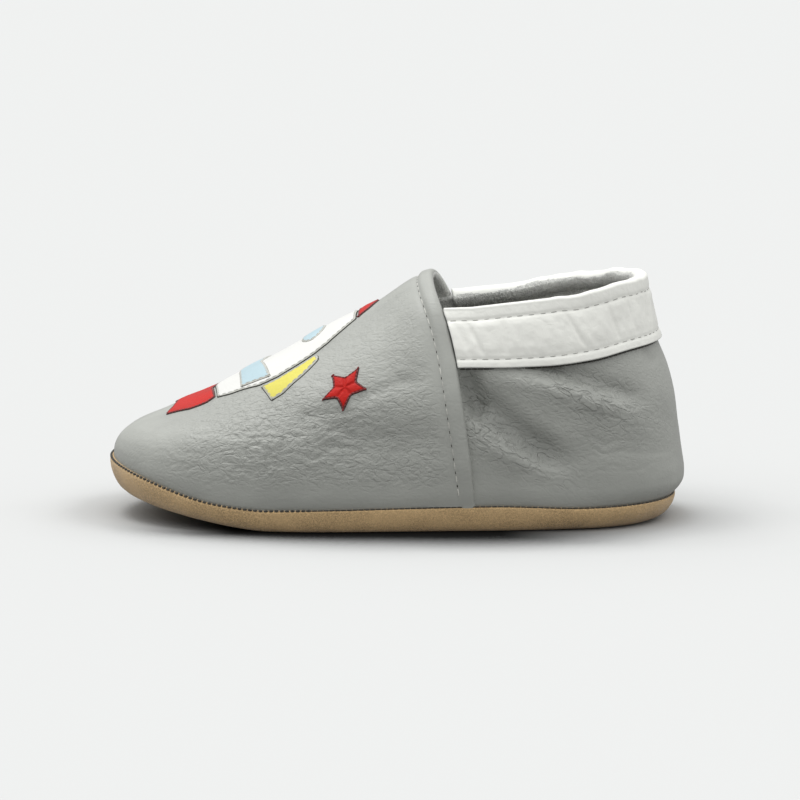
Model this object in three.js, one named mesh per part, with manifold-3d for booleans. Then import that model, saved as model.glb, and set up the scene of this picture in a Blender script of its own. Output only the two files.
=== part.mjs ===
// Soft leather baby slipper, as a left shoe: a vamp over the toe, a quarter round the heel under it,
// an elastic cuff at the collar, a curled suede sole with a pad inside, and a sewn-on rocket and stars.
// Millimetres, +Z up, toe towards -X, outer side towards -Y.

import * as THREE from "three";
import { mergeVertices } from "three/addons/utils/BufferGeometryUtils.js";
import { TessellateModifier } from "three/addons/modifiers/TessellateModifier.js";
import Module from "manifold-3d";

const wasm = await Module();
wasm.setup();

// Driving sizes of the last
const LENGTH = 126.4;
const BALL_WIDTH = 62;
const INSTEP_HEIGHT = 52.4;
const COLLAR_HEIGHT = 52.6;
const TOE_SWING = 1.5;
const TOE_SPRING = 6.2;
const TOE_TIP_POWER = 2.25;
const HEEL_TIP_POWER = 2.3;

// Leather, clearances and how the pieces lap
const WALL = 1.4;
const CLEARANCE = 0.3;
const LAP = 9;
const LAP_LIFT = 1.3;
const LAP_SINK = 0.6;
const HEM_WIDTH = 3.3;
const HEM_STEP = 0.6;
const LAP_FOOT = 0.35;
const LAP_FOOT_START = 0.86;
const QUARTER_FOOT = 0.006;

// Sole, pad and cuff
const SEAM_HEIGHT = 4.9;
const SOLE_THICKNESS = 2;
const SOLE_LEDGE = 0.8;
const PAD_THICKNESS = 2.2;
const PAD_MARGIN = 1.7;
const PAD_BEVEL = 1.8;
const CUFF_DEPTH = 13.4;
const CUFF_THICKNESS = 1.2;
const CUFF_TURN = 2.2;
const CUFF_CLEARANCE = 0.55;

// Tuck of the upper where it turns in to the sole seam
const TUCK_TOE = 0.4;
const TUCK_SIDE = 0.7;
const TUCK_HEEL = 2.6;
const TUCK_HEIGHT = 4;

// Throat edge of the vamp, from its foot at the sole to its top at the instep
const THROAT_FOOT = 19.1;
const THROAT_LEAN = 0.643;
const THROAT_FLARE_POWER = 6;

// Sewn-on leather pieces
const PATCH_THICKNESS = 0.5;
const PATCH_DETAIL = 4.5;
const STAR_RADIUS = 5.2;
const WINDOW_LENGTH = 6.4;
const WINDOW_WIDTH = 16;

const HALF = LENGTH / 2;
const BALL_HALF = BALL_WIDTH / 2;

// Levels of the last: height by INSTEP_HEIGHT, front and back by half LENGTH,
// half width by half BALL_WIDTH, length of the toe's and the heel's rounding by the level's length
const LEVELS = [
  { height: 0.0, front: -0.995, back: 0.985, half: 0.985, toe: 0.34, heel: 0.21 },
  { height: 0.1, front: -1.0, back: 0.995, half: 0.995, toe: 0.34, heel: 0.21 },
  { height: 0.2, front: -1.0, back: 0.997, half: 1.003, toe: 0.34, heel: 0.21 },
  { height: 0.275, front: -0.99, back: 0.989, half: 1.0, toe: 0.34, heel: 0.215 },
  { height: 0.32, front: -0.973, back: 0.984, half: 0.992, toe: 0.34, heel: 0.22 },
  { height: 0.366, front: -0.93, back: 0.98, half: 0.982, toe: 0.34, heel: 0.225 },
  { height: 0.425, front: -0.821, back: 0.973, half: 0.962, toe: 0.345, heel: 0.235 },
  { height: 0.53, front: -0.62, back: 0.957, half: 0.915, toe: 0.355, heel: 0.255 },
  { height: 0.64, front: -0.447, back: 0.935, half: 0.845, toe: 0.37, heel: 0.29 },
  { height: 0.77, front: -0.25, back: 0.892, half: 0.755, toe: 0.4, heel: 0.34 },
  { height: 0.9, front: -0.054, back: 0.862, half: 0.675, toe: 0.435, heel: 0.39 },
  { height: 0.96, front: 0.048, back: 0.853, half: 0.645, toe: 0.45, heel: 0.41 },
  { height: 1.0, front: 0.127, back: 0.847, half: 0.62, toe: 0.46, heel: 0.43 },
];

// Waist of the outline: place along a level from its front, half widths by that level's half width,
// outer and inner side low down, and either side at the collar
const WAIST = [
  { place: 0, outer: 0.99, inner: 0.99, high: 0.97 },
  { place: 0.33, outer: 1, inner: 1, high: 0.97 },
  { place: 0.62, outer: 0.88, inner: 0.85, high: 1 },
  { place: 0.85, outer: 0.8, inner: 0.8, high: 1 },
  { place: 1, outer: 0.79, inner: 0.79, high: 1 },
];
const WAIST_FADE = { from: 0.2, to: 0.9 };

// Sole edge: place by half LENGTH, rise of the seam over the underside by SEAM_HEIGHT,
// and width of the curled edge by half BALL_WIDTH
const SOLE_EDGE = [
  { place: -1, rise: 1.3, curl: 0.13 },
  { place: -0.85, rise: 1.14, curl: 0.13 },
  { place: -0.6, rise: 0.855, curl: 0.115 },
  { place: -0.3, rise: 0.92, curl: 0.09 },
  { place: 0.1, rise: 1.01, curl: 0.085 },
  { place: 0.35, rise: 1.05, curl: 0.09 },
  { place: 0.65, rise: 0.95, curl: 0.15 },
  { place: 0.85, rise: 1, curl: 0.19 },
  { place: 1, rise: 1.06, curl: 0.22 },
];
const SPRING_START = -0.427;
const SPRING_POWER = 1.35;
const SPINE = { front: -0.5, back: 0.56 };

// Collar: place by half LENGTH, rim of the outer and inner side by COLLAR_HEIGHT,
// and drop of the cuff's lower edge below the rim by CUFF_DEPTH
const COLLAR = [
  { place: 0.05, outer: 0.866, inner: 0.862, drop: 0.85 },
  { place: 0.18, outer: 0.882, inner: 0.88, drop: 0.86 },
  { place: 0.36, outer: 0.9, inner: 0.9, drop: 0.92 },
  { place: 0.52, outer: 0.926, inner: 0.94, drop: 0.98 },
  { place: 0.68, outer: 0.957, inner: 0.969, drop: 1 },
  { place: 0.8, outer: 0.988, inner: 0.987, drop: 1 },
  { place: 0.9, outer: 1, inner: 1, drop: 0.97 },
];

// Sewn-on pieces on the vamp: along from the toe's tip by the ridge's length,
// across from the ridge by half BALL_WIDTH; a mirrored half outline runs from tail to nose
const ROCKET_BODY = [
  { along: 0.34, across: 0 },
  { along: 0.363, across: 0.42 },
  { along: 0.401, across: 0.475 },
  { along: 0.446, across: 0.51 },
  { along: 0.49, across: 0.56 },
  { along: 0.545, across: 0.57 },
  { along: 0.6, across: 0.535 },
  { along: 0.647, across: 0.5 },
  { along: 0.69, across: 0.45 },
  { along: 0.734, across: 0.355 },
  { along: 0.775, across: 0.255 },
];
const ROCKET_NOSE = [
  { along: 0.779, across: 0.245 },
  { along: 0.815, across: 0.15 },
  { along: 0.843, across: 0 },
];
const ROCKET_FLAME = [
  { along: 0.225, across: 0 },
  { along: 0.222, across: 0.17 },
  { along: 0.209, across: 0.315 },
  { along: 0.285, across: 0.425 },
  { along: 0.335, across: 0.43 },
  { along: 0.357, across: 0.385 },
  { along: 0.335, across: 0 },
];
const ROCKET_FIN = [
  { along: 0.495, across: 0.588 },
  { along: 0.527, across: 0.8 },
  { along: 0.56, across: 0.79 },
  { along: 0.615, across: 0.7 },
  { along: 0.66, across: 0.6 },
  { along: 0.66, across: 0.54 },
  { along: 0.645, across: 0.525 },
  { along: 0.6, across: 0.562 },
  { along: 0.545, across: 0.595 },
];
const ROCKET_BAND = [
  { along: 0.415, across: 0 },
  { along: 0.436, across: 0.475 },
  { along: 0.527, across: 0.53 },
  { along: 0.488, across: 0 },
];
const ROCKET_WINDOW = { along: 0.645, across: 0 };
const STAR = { along: 0.721, across: 0.955, turn: THREE.MathUtils.degToRad(118), notch: 0.5 };

const COLOUR = {
  grey: 0xa9ada8,
  white: 0xe6e7e3,
  suede: 0xa58a63,
  red: 0xc8322f,
  blue: 0xbfdbe6,
  yellow: 0xe9d86a,
  pad: 0x8f9493,
};

// A smooth curve through one column of a table, without overshoot
function column(rows, key, name) {
  const places = rows.map((row) => row[key]);
  const values = rows.map((row) => row[name]);
  const last = rows.length - 1;
  const rates = values.slice(1).map((value, i) => (value - values[i]) / (places[i + 1] - places[i]));
  const slopes = values.map((_, i) => {
    if (i === 0 || i === last) {
      return i === 0 ? rates[0] : rates[last - 1];
    }
    const product = rates[i - 1] * rates[i];
    return product > 0 ? (2 * product) / (rates[i - 1] + rates[i]) : 0;
  });
  return (place) => {
    const x = THREE.MathUtils.clamp(place, places[0], places[last]);
    const found = places.findIndex((edge, i) => i < last && x <= places[i + 1]);
    const i = found < 0 ? last - 1 : found;
    const run = places[i + 1] - places[i];
    const t = (x - places[i]) / run;
    const rest = 1 - t;
    const start = rest * rest * (1 + 2 * t) * values[i] + t * rest * rest * run * slopes[i];
    const end = t * t * (3 - 2 * t) * values[i + 1] - t * t * rest * run * slopes[i + 1];
    return start + end;
  };
}

const level = {
  front: column(LEVELS, "height", "front"),
  back: column(LEVELS, "height", "back"),
  half: column(LEVELS, "height", "half"),
  toe: column(LEVELS, "height", "toe"),
  heel: column(LEVELS, "height", "heel"),
};
const waist = {
  outer: column(WAIST, "place", "outer"),
  inner: column(WAIST, "place", "inner"),
  high: column(WAIST, "place", "high"),
};
const soleEdge = {
  rise: column(SOLE_EDGE, "place", "rise"),
  curl: column(SOLE_EDGE, "place", "curl"),
};
const collar = {
  outer: column(COLLAR, "place", "outer"),
  inner: column(COLLAR, "place", "inner"),
  drop: column(COLLAR, "place", "drop"),
};

// Heights along the shoe
const springAt = (x) => {
  const start = SPRING_START * HALF;
  return TOE_SPRING * Math.max(0, (start - x) / (start + HALF)) ** SPRING_POWER;
};
const seamAt = (x) => springAt(x) + SEAM_HEIGHT * soleEdge.rise(x / HALF);
const footAt = (x) => seamAt(x) + CLEARANCE;
const rimAt = (x, side) => COLLAR_HEIGHT * (side > 0 ? collar.outer(x / HALF) : collar.inner(x / HALF));
const centreAt = (x) => TOE_SWING * THREE.MathUtils.smoothstep(-x / HALF, 0.1, 1);

// The last, as a front, a back and a half width at each height; side is 1 outside and -1 inside
const tuckAt = (x, z) => (1 - THREE.MathUtils.clamp((z - footAt(x)) / TUCK_HEIGHT, 0, 1)) ** 2;
const frontAt = (z, x = -HALF) => level.front(z / INSTEP_HEIGHT) * HALF + TUCK_TOE * tuckAt(x, z);
const backAt = (z, x = HALF) => level.back(z / INSTEP_HEIGHT) * HALF - TUCK_HEEL * tuckAt(x, z);
const rounded = (share, power) => (1 - (1 - Math.min(share, 1)) ** power) ** (1 / power);

function halfWidth(x, z, side) {
  const height = z / INSTEP_HEIGHT;
  const front = frontAt(z, x);
  const place = THREE.MathUtils.clamp((x - front) / (backAt(z, x) - front), 0, 1);
  const low = side > 0 ? waist.outer(place) : waist.inner(place);
  const fade = THREE.MathUtils.smoothstep(height, WAIST_FADE.from, WAIST_FADE.to);
  const full = BALL_HALF * level.half(height) - TUCK_SIDE * tuckAt(x, z);
  const toe = rounded(place / level.toe(height), TOE_TIP_POWER);
  const heel = rounded((1 - place) / level.heel(height), HEEL_TIP_POWER);
  return full * THREE.MathUtils.lerp(low, waist.high(place), fade) * toe * heel;
}

const onLast = (x, z, side) => new THREE.Vector3(x, centreAt(x) - side * halfWidth(x, z, side), z);

// Throat line of the vamp in the side view
const TOP_X = frontAt(INSTEP_HEIGHT);
function throatAt(z) {
  const height = z / INSTEP_HEIGHT;
  const share = 1 - THROAT_LEAN * height - (1 - THROAT_LEAN) * height ** THROAT_FLARE_POWER;
  return TOP_X + (THROAT_FOOT - TOP_X) * share;
}

// Ridge of the vamp from the toe's tip to the top of the throat, by its length
const RIDGE_STEPS = 200;
const TIP_HEIGHT = footAt(-HALF);
const ridge = [{ x: frontAt(TIP_HEIGHT), z: TIP_HEIGHT, length: 0 }];
for (let i = 1; i <= RIDGE_STEPS; i += 1) {
  const z = THREE.MathUtils.lerp(TIP_HEIGHT, INSTEP_HEIGHT, i / RIDGE_STEPS);
  const x = frontAt(z);
  const before = ridge[i - 1];
  ridge.push({ x, z, length: before.length + Math.hypot(x - before.x, z - before.z) });
}
const RIDGE_LENGTH = ridge[RIDGE_STEPS].length;

function ridgeAt(share) {
  const length = share * RIDGE_LENGTH;
  const found = ridge.findIndex((point, i) => i > 0 && length <= point.length);
  const next = found < 0 ? ridge[RIDGE_STEPS] : ridge[found];
  const before = ridge[ridge.indexOf(next) - 1];
  const t = Math.min(1, (length - before.length) / (next.length - before.length));
  const z = THREE.MathUtils.lerp(before.z, next.z, t);
  return { x: frontAt(z), z };
}

// Foot of each vamp section on the sole seam; near the throat it keeps pace with the ridge
const FOOT_START = 0.35;
let footEnd = THROAT_FOOT;
for (let i = 0; i < 6; i += 1) {
  footEnd = throatAt(footAt(footEnd));
}
const FOOT_RUN = footEnd - ridge[0].x;
const FOOT_PACE = RIDGE_LENGTH / FOOT_RUN;
function footX(share) {
  const rest = 1 - share;
  const eased = share * share * (3 - 2 * share);
  const paced = FOOT_START * share * rest * rest - FOOT_PACE * share * share * rest;
  return ridge[0].x + FOOT_RUN * (eased + paced);
}

// Charts of the last's surface.
// Vamp: s runs from the toe's tip to the throat, t from the outer seam over the ridge to the inner seam.
function vampChart(s, t) {
  const side = t < 0 ? 1 : -1;
  const drop = 1 - Math.cos((Math.abs(t) * Math.PI) / 2);
  const top = ridgeAt(s);
  const foot = footX(s);
  const throatZ = THREE.MathUtils.lerp(INSTEP_HEIGHT, footAt(footEnd), drop);
  const bow = throatAt(throatZ) - THREE.MathUtils.lerp(TOP_X, footEnd, drop);
  const x = THREE.MathUtils.lerp(top.x, foot, drop) + bow * s * s;
  const z = THREE.MathUtils.lerp(top.z, footAt(foot), drop);
  return t === 0 ? new THREE.Vector3(x, centreAt(x), z) : onLast(x, z, side);
}

// Quarter: u runs from the outer throat round the heel to the inner throat, v from the seam to the rim,
// and lead is how far it starts ahead of the throat.
function quarterChart(u, v, lead = 0) {
  const side = u < 0 ? 1 : -1;
  const round = Math.cos((Math.abs(u) * Math.PI) / 2);
  let x = THREE.MathUtils.lerp(THROAT_FOOT, HALF, round);
  let z = COLLAR_HEIGHT * v;
  for (let i = 0; i < 6; i += 1) {
    z = THREE.MathUtils.lerp(footAt(x), rimAt(x, side), v);
    x = THREE.MathUtils.lerp(throatAt(z) - lead, backAt(z), round);
  }
  return u === 0 ? new THREE.Vector3(x, centreAt(x), z) : onLast(x, z, side);
}

// A point lifted off a chart along the chart's normal
const STEP = 0.004;
function lifted(chart, a, b, distance) {
  const acrossA = chart(a + STEP, b).sub(chart(a - STEP, b));
  const acrossB = chart(a, b + STEP).sub(chart(a, b - STEP));
  const normal = acrossA.cross(acrossB).normalize();
  return chart(a, b).addScaledVector(normal, distance);
}

const POLE = 0.03;
function onVamp(s, t, distance) {
  const flat = Math.min(1, s / POLE);
  const a = THREE.MathUtils.clamp(s, POLE, 1 - STEP);
  const b = THREE.MathUtils.clamp(t * flat, STEP - 1, 1 - STEP);
  const normal = lifted(vampChart, a, b, 1).sub(vampChart(a, b));
  if (s === 0 || Math.abs(t) === 1) {
    normal.setZ(0).normalize();
  }
  return vampChart(s, t).addScaledVector(normal, distance);
}

function onQuarter(u, v, distance, lead) {
  const chart = (a, b) => quarterChart(a, b, lead);
  const a = THREE.MathUtils.clamp(u, STEP - 1, 1 - STEP);
  const b = THREE.MathUtils.clamp(v, STEP, 1 - STEP);
  const normal = lifted(chart, a, b, 1).sub(chart(a, b));
  if (v <= QUARTER_FOOT) {
    normal.setZ(0).normalize();
  }
  return chart(u, v).addScaledVector(normal, distance);
}

// Geometry helpers
const WELD = 1e-4;
const steps = (count, from = 0, to = 1) =>
  Array.from({ length: count + 1 }, (_, i) => THREE.MathUtils.lerp(from, to, i / count));

function welded(geometry) {
  geometry.deleteAttribute("normal");
  geometry.deleteAttribute("uv");
  const merged = mergeVertices(geometry, WELD);
  const corners = Array.from(merged.index.array);
  const kept = [];
  for (let i = 0; i < corners.length; i += 3) {
    const [a, b, c] = corners.slice(i, i + 3);
    if (a !== b && b !== c && c !== a) {
      kept.push(a, b, c);
    }
  }
  merged.setIndex(kept);
  return merged;
}

function fromGrids(grids, faces) {
  const geometry = new THREE.BufferGeometry();
  geometry.setFromPoints(grids.flat(2));
  geometry.setIndex(faces.flatMap(([a, b, c, d]) => [a, b, c, a, c, d]));
  return welded(geometry);
}

// A closed sheet between two grids of points, the first one on its outside
function sheet(outside, inside) {
  const rows = outside.length;
  const columns = outside[0].length;
  const at = (layer, i, j) => (layer * rows + i) * columns + j;
  const faces = [];
  for (let i = 0; i < rows - 1; i += 1) {
    for (let j = 0; j < columns - 1; j += 1) {
      faces.push([at(0, i, j), at(0, i + 1, j), at(0, i + 1, j + 1), at(0, i, j + 1)]);
      faces.push([at(1, i, j), at(1, i, j + 1), at(1, i + 1, j + 1), at(1, i + 1, j)]);
    }
    const j = columns - 1;
    faces.push([at(0, i, 0), at(1, i, 0), at(1, i + 1, 0), at(0, i + 1, 0)]);
    faces.push([at(0, i, j), at(0, i + 1, j), at(1, i + 1, j), at(1, i, j)]);
  }
  for (let j = 0; j < columns - 1; j += 1) {
    const i = rows - 1;
    faces.push([at(0, 0, j), at(0, 0, j + 1), at(1, 0, j + 1), at(1, 0, j)]);
    faces.push([at(0, i, j), at(1, i, j), at(1, i, j + 1), at(0, i, j + 1)]);
  }
  return fromGrids([outside, inside], faces);
}

// A closed plate between two rings of spokes that run from the shoe's spine to its outline
function plate(under, over) {
  const spokes = under.length;
  const columns = under[0].length;
  const at = (layer, i, j) => (layer * spokes + (i % spokes)) * columns + j;
  const faces = [];
  for (let i = 0; i < spokes; i += 1) {
    for (let j = 0; j < columns - 1; j += 1) {
      faces.push([at(0, i, j), at(0, i + 1, j), at(0, i + 1, j + 1), at(0, i, j + 1)]);
      faces.push([at(1, i, j), at(1, i, j + 1), at(1, i + 1, j + 1), at(1, i + 1, j)]);
    }
    const j = columns - 1;
    faces.push([at(0, i, j), at(0, i + 1, j), at(1, i + 1, j), at(1, i, j)]);
  }
  return fromGrids([under, over], faces);
}

function toSolid(geometry) {
  const vertProperties = Float32Array.from(geometry.attributes.position.array);
  const triVerts = Uint32Array.from(geometry.index.array);
  return new wasm.Manifold(new wasm.Mesh({ numProp: 3, vertProperties, triVerts }));
}

function toGeometry(solid) {
  const mesh = solid.getMesh();
  const geometry = new THREE.BufferGeometry();
  geometry.setAttribute("position", new THREE.BufferAttribute(mesh.vertProperties, 3));
  geometry.setIndex(new THREE.BufferAttribute(mesh.triVerts, 1));
  return geometry;
}

// Upper: the vamp's outside rises over the quarter in the lap and ends in a thicker hem,
// and its foot comes down to the sole's rim
const HEM_START = 1 - HEM_WIDTH / RIDGE_LENGTH;
const LAP_START = 1 - LAP / RIDGE_LENGTH;
const RISE_START = 2 * LAP_START - 1 + HEM_WIDTH / RIDGE_LENGTH;
const riseAt = (s) => THREE.MathUtils.smoothstep(s, RISE_START, HEM_START);
const footFade = (t) => THREE.MathUtils.smoothstep(Math.abs(t), LAP_FOOT_START, 1);
function vampOutside(s, t) {
  const lift = LAP_LIFT * riseAt(s) + (s > HEM_START ? HEM_STEP : 0);
  return lift * THREE.MathUtils.lerp(1, LAP_FOOT, footFade(t));
}
const vampInside = (s) => THREE.MathUtils.lerp(-WALL, -LAP_SINK, riseAt(s));

// Where the upper's grid lines crowd together, and half the width of the hem's step by the ridge
const TOE_PART = 0.16;
const TOE_CROWD = 1.4;
const FOOT_CROWD = 1.2;
const STEP_HALF = 0.002;

function makeUpper() {
  const toe = steps(6).map((share) => TOE_PART * share ** TOE_CROWD);
  const middle = steps(10, TOE_PART, RISE_START).slice(1);
  const lap = steps(3, RISE_START, HEM_START - STEP_HALF).slice(1);
  const stations = [...toe, ...middle, ...lap, HEM_START + STEP_HALF, 1];
  const across = steps(30, -1, 1);
  const vamp = sheet(
    stations.map((s) => across.map((t) => onVamp(s, t, vampOutside(s, t)))),
    stations.map((s) => across.map((t) => onVamp(s, t, vampInside(s)))),
  );
  const around = steps(38, -1, 1);
  const up = steps(9).map((share) => THREE.MathUtils.lerp(QUARTER_FOOT, 1, share ** FOOT_CROWD));
  const quarter = sheet(
    around.map((u) => up.map((v) => onQuarter(u, v, 0, LAP))),
    around.map((u) => up.map((v) => onQuarter(u, v, -WALL, LAP))),
  );
  return toGeometry(toSolid(vamp).add(toSolid(quarter)));
}

// Cuff: an outer leg down to its lower edge, a roll over the rim and a short inner leg
const ROLL_SHOULDER = 0.8;
function makeCuff() {
  const outward = CUFF_CLEARANCE + CUFF_THICKNESS;
  const inward = -WALL - CUFF_CLEARANCE;
  const deep = inward - CUFF_THICKNESS;
  const middle = -WALL / 2;
  const lower = (u) => {
    const point = quarterChart(u, 1, -CLEARANCE);
    const side = u < 0 ? 1 : -1;
    const tall = rimAt(point.x, side) - footAt(point.x);
    return { edge: 1 - (CUFF_DEPTH * collar.drop(point.x / HALF)) / tall, turn: 1 - CUFF_TURN / tall };
  };
  const path = (u, legs, over) => {
    const { edge, turn } = lower(u);
    const leg = steps(4, edge).map((v) => onQuarter(u, v, legs[0], -CLEARANCE));
    const roll = over.map(([across, up]) => {
      const point = onQuarter(u, 1, across, -CLEARANCE);
      return point.setZ(point.z + up);
    });
    const back = [1, turn].map((v) => onQuarter(u, v, legs[1], -CLEARANCE));
    return [...leg, ...roll, ...back];
  };
  const round = [
    [outward * ROLL_SHOULDER, outward * ROLL_SHOULDER],
    [middle, outward],
    [deep * ROLL_SHOULDER, outward * ROLL_SHOULDER],
  ];
  const hollow = [
    [CUFF_CLEARANCE, CUFF_CLEARANCE],
    [middle, CUFF_CLEARANCE],
    [inward, CUFF_CLEARANCE],
  ];
  const around = steps(34, -1, 1);
  return sheet(
    around.map((u) => path(u, [outward, deep], round)),
    around.map((u) => path(u, [CUFF_CLEARANCE, inward], hollow)),
  );
}

// Sole outline as spokes: toe to heel on the outer side and back on the inner side
const SPOKES = 32;
function outline() {
  const places = steps(SPOKES).map((share) => (1 - Math.cos(Math.PI * share)) / 2);
  const front = frontAt(TIP_HEIGHT);
  const back = backAt(footAt(HALF));
  const across = (place, side) => {
    const x = THREE.MathUtils.lerp(front, back, place);
    const edge = onLast(x, footAt(x), side);
    const spineX = THREE.MathUtils.clamp(x, SPINE.front * HALF, SPINE.back * HALF);
    const spine = new THREE.Vector3(spineX, centreAt(spineX), 0);
    const reach = edge.clone().sub(spine).setZ(0);
    const curl = BALL_HALF * soleEdge.curl(x / HALF);
    return { spine, length: reach.length(), direction: reach.normalize(), curl, rim: seamAt(x) };
  };
  const outer = places.map((place) => across(place, 1));
  const inner = places.slice(1, -1).reverse().map((place) => across(place, -1));
  return [...outer, ...inner];
}

const spokePoint = (spoke, reach, height) => {
  const point = spoke.spine.clone().addScaledVector(spoke.direction, reach);
  return point.setZ(springAt(point.x) + height);
};

// One face of the curled sole: flat inside, then a quarter of an ellipse up to the rim
function dish(spoke, depth) {
  const outer = spoke.length + SOLE_LEDGE - depth;
  const curl = spoke.curl - depth;
  const flat = steps(2).map((share) => spokePoint(spoke, share * (outer - curl), depth));
  const bend = steps(4).slice(1).map((share) => {
    const angle = (share * Math.PI) / 2;
    const point = spokePoint(spoke, outer - curl * (1 - Math.sin(angle)), 0);
    const bottom = point.z + depth;
    return point.setZ(THREE.MathUtils.lerp(bottom, spoke.rim, 1 - Math.cos(angle)));
  });
  return [...flat, ...bend];
}

function makeOutsole() {
  const spokes = outline();
  return plate(
    spokes.map((spoke) => dish(spoke, 0)),
    spokes.map((spoke) => dish(spoke, SOLE_THICKNESS)),
  );
}

// Pad: lies on the flat of the sole, its edge bevelled to follow the curl
function makeInsole() {
  const bottom = SOLE_THICKNESS + CLEARANCE;
  const face = (spoke, edge, height) => {
    const reach = spoke.length + SOLE_LEDGE - edge;
    return steps(3).map((share) => spokePoint(spoke, share * reach, height));
  };
  const spokes = outline();
  return plate(
    spokes.map((spoke) => face(spoke, spoke.curl + PAD_MARGIN, bottom)),
    spokes.map((spoke) => face(spoke, spoke.curl + PAD_MARGIN - PAD_BEVEL, bottom + PAD_THICKNESS)),
  );
}

// Sewn-on pieces: flat outlines in millimetres along and across the vamp, bent on to its surface
const WALK_STEPS = 60;
function wrapOnVamp(along, across, distance) {
  const s = along / RIDGE_LENGTH;
  const wanted = Math.abs(across);
  const sign = across < 0 ? -1 : 1;
  const stride = 1 / WALK_STEPS;
  let walked = 0;
  let t = 0;
  let before = vampChart(s, 0);
  while (t < 1) {
    const next = vampChart(s, sign * (t + stride));
    const length = next.distanceTo(before);
    if (walked + length >= wanted) {
      t += (stride * (wanted - walked)) / length;
      break;
    }
    walked += length;
    before = next;
    t += stride;
  }
  return onVamp(s, sign * t, vampOutside(s, t) + distance);
}

function makePatch(points, layer) {
  const shape = new THREE.Shape(points);
  const flat = new THREE.ExtrudeGeometry(shape, { depth: PATCH_THICKNESS, bevelEnabled: false });
  const fine = new TessellateModifier(PATCH_DETAIL, 8).modify(flat);
  const position = fine.attributes.position;
  const base = CLEARANCE + layer * (CLEARANCE + PATCH_THICKNESS);
  for (let i = 0; i < position.count; i += 1) {
    const point = wrapOnVamp(position.getX(i), position.getY(i), base + position.getZ(i));
    position.setXYZ(i, point.x, point.y, point.z);
  }
  return welded(fine);
}

const onRidge = ({ along, across }, side = 1) =>
  new THREE.Vector2(along * RIDGE_LENGTH, side * across * BALL_HALF);

// A half outline and its mirror image across the ridge, as one closed outline
function mirrored(rows) {
  const open = rows.filter((row) => row.across > 0);
  const near = rows.map((row) => onRidge(row, -1));
  const far = [...open].reverse().map((row) => onRidge(row));
  return [...near, ...far];
}

const counterClockwise = (points) => (THREE.ShapeUtils.area(points) < 0 ? [...points].reverse() : points);

const ring = (count) => steps(count).slice(0, count);

function star(side) {
  const centre = onRidge(STAR, -side);
  return ring(10).map((share, i) => {
    const radius = STAR_RADIUS * (i % 2 ? STAR.notch : 1);
    const angle = side * (STAR.turn + share * 2 * Math.PI);
    return new THREE.Vector2(Math.cos(angle), Math.sin(angle)).multiplyScalar(radius).add(centre);
  });
}

function roundWindow() {
  const centre = onRidge(ROCKET_WINDOW);
  return ring(16).map((share) => {
    const angle = share * 2 * Math.PI;
    const radii = new THREE.Vector2(WINDOW_LENGTH / 2, WINDOW_WIDTH / 2);
    return new THREE.Vector2(Math.cos(angle), Math.sin(angle)).multiply(radii).add(centre);
  });
}

// The shoe
const shoe = new THREE.Group();

function add(name, geometry, color, roughness) {
  const mesh = new THREE.Mesh(geometry, new THREE.MeshStandardMaterial({ color, roughness, metalness: 0 }));
  mesh.name = name;
  shoe.add(mesh);
}

function addPatch(name, points, color, layer = 0) {
  add(name, makePatch(counterClockwise(points), layer), color, 0.5);
}

add("outsole", makeOutsole(), COLOUR.suede, 0.95);
add("insole", makeInsole(), COLOUR.pad, 0.95);
add("upper", makeUpper(), COLOUR.grey, 0.55);
add("collar_band", makeCuff(), COLOUR.white, 0.6);
addPatch("rocket_body", mirrored(ROCKET_BODY), COLOUR.white);
addPatch("rocket_nose", mirrored(ROCKET_NOSE), COLOUR.red);
addPatch("rocket_flame", mirrored(ROCKET_FLAME), COLOUR.red);
addPatch("rocket_band", mirrored(ROCKET_BAND), COLOUR.blue, 1);
addPatch("rocket_window", roundWindow(), COLOUR.blue, 1);
for (const [label, side] of [["outer", 1], ["inner", -1]]) {
  addPatch(`rocket_fin_${label}`, ROCKET_FIN.map((row) => onRidge(row, -side)), COLOUR.yellow);
  addPatch(`star_${label}`, star(side), COLOUR.red);
}

// The origin is the middle of the box's underside
const box = new THREE.Box3().setFromObject(shoe);
const middle = box.getCenter(new THREE.Vector3());
shoe.position.set(-middle.x, -middle.y, -box.min.z);

export default shoe;
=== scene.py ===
"""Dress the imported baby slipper: leather, suede, seams and sewn-on pieces on the shoe's own last."""

from __future__ import annotations

import logging
import math
from collections.abc import Callable
from dataclasses import dataclass, field
from enum import Enum
from functools import cached_property, partial, reduce

import bpy
import numpy as np
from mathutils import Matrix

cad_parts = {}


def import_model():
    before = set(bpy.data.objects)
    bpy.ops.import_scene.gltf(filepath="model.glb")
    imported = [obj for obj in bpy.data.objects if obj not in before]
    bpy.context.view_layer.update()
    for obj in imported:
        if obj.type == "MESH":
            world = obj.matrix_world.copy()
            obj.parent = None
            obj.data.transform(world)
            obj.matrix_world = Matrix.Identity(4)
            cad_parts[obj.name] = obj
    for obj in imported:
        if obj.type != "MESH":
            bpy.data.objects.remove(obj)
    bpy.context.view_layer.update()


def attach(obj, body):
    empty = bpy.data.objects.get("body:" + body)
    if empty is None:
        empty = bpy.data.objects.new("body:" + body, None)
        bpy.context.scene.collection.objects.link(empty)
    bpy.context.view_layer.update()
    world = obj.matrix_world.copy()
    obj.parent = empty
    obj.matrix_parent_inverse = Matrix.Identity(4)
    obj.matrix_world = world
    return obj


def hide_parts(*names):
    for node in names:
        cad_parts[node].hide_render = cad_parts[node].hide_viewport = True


LOG = logging.getLogger("slipper")
MM = 0.001

Array = np.ndarray
Surface = Callable[[Array, Array], Array]


class Side(Enum):
    """The two sides of this left shoe; the value is the sign of -Y."""

    OUTER = 1
    INNER = -1


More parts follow.
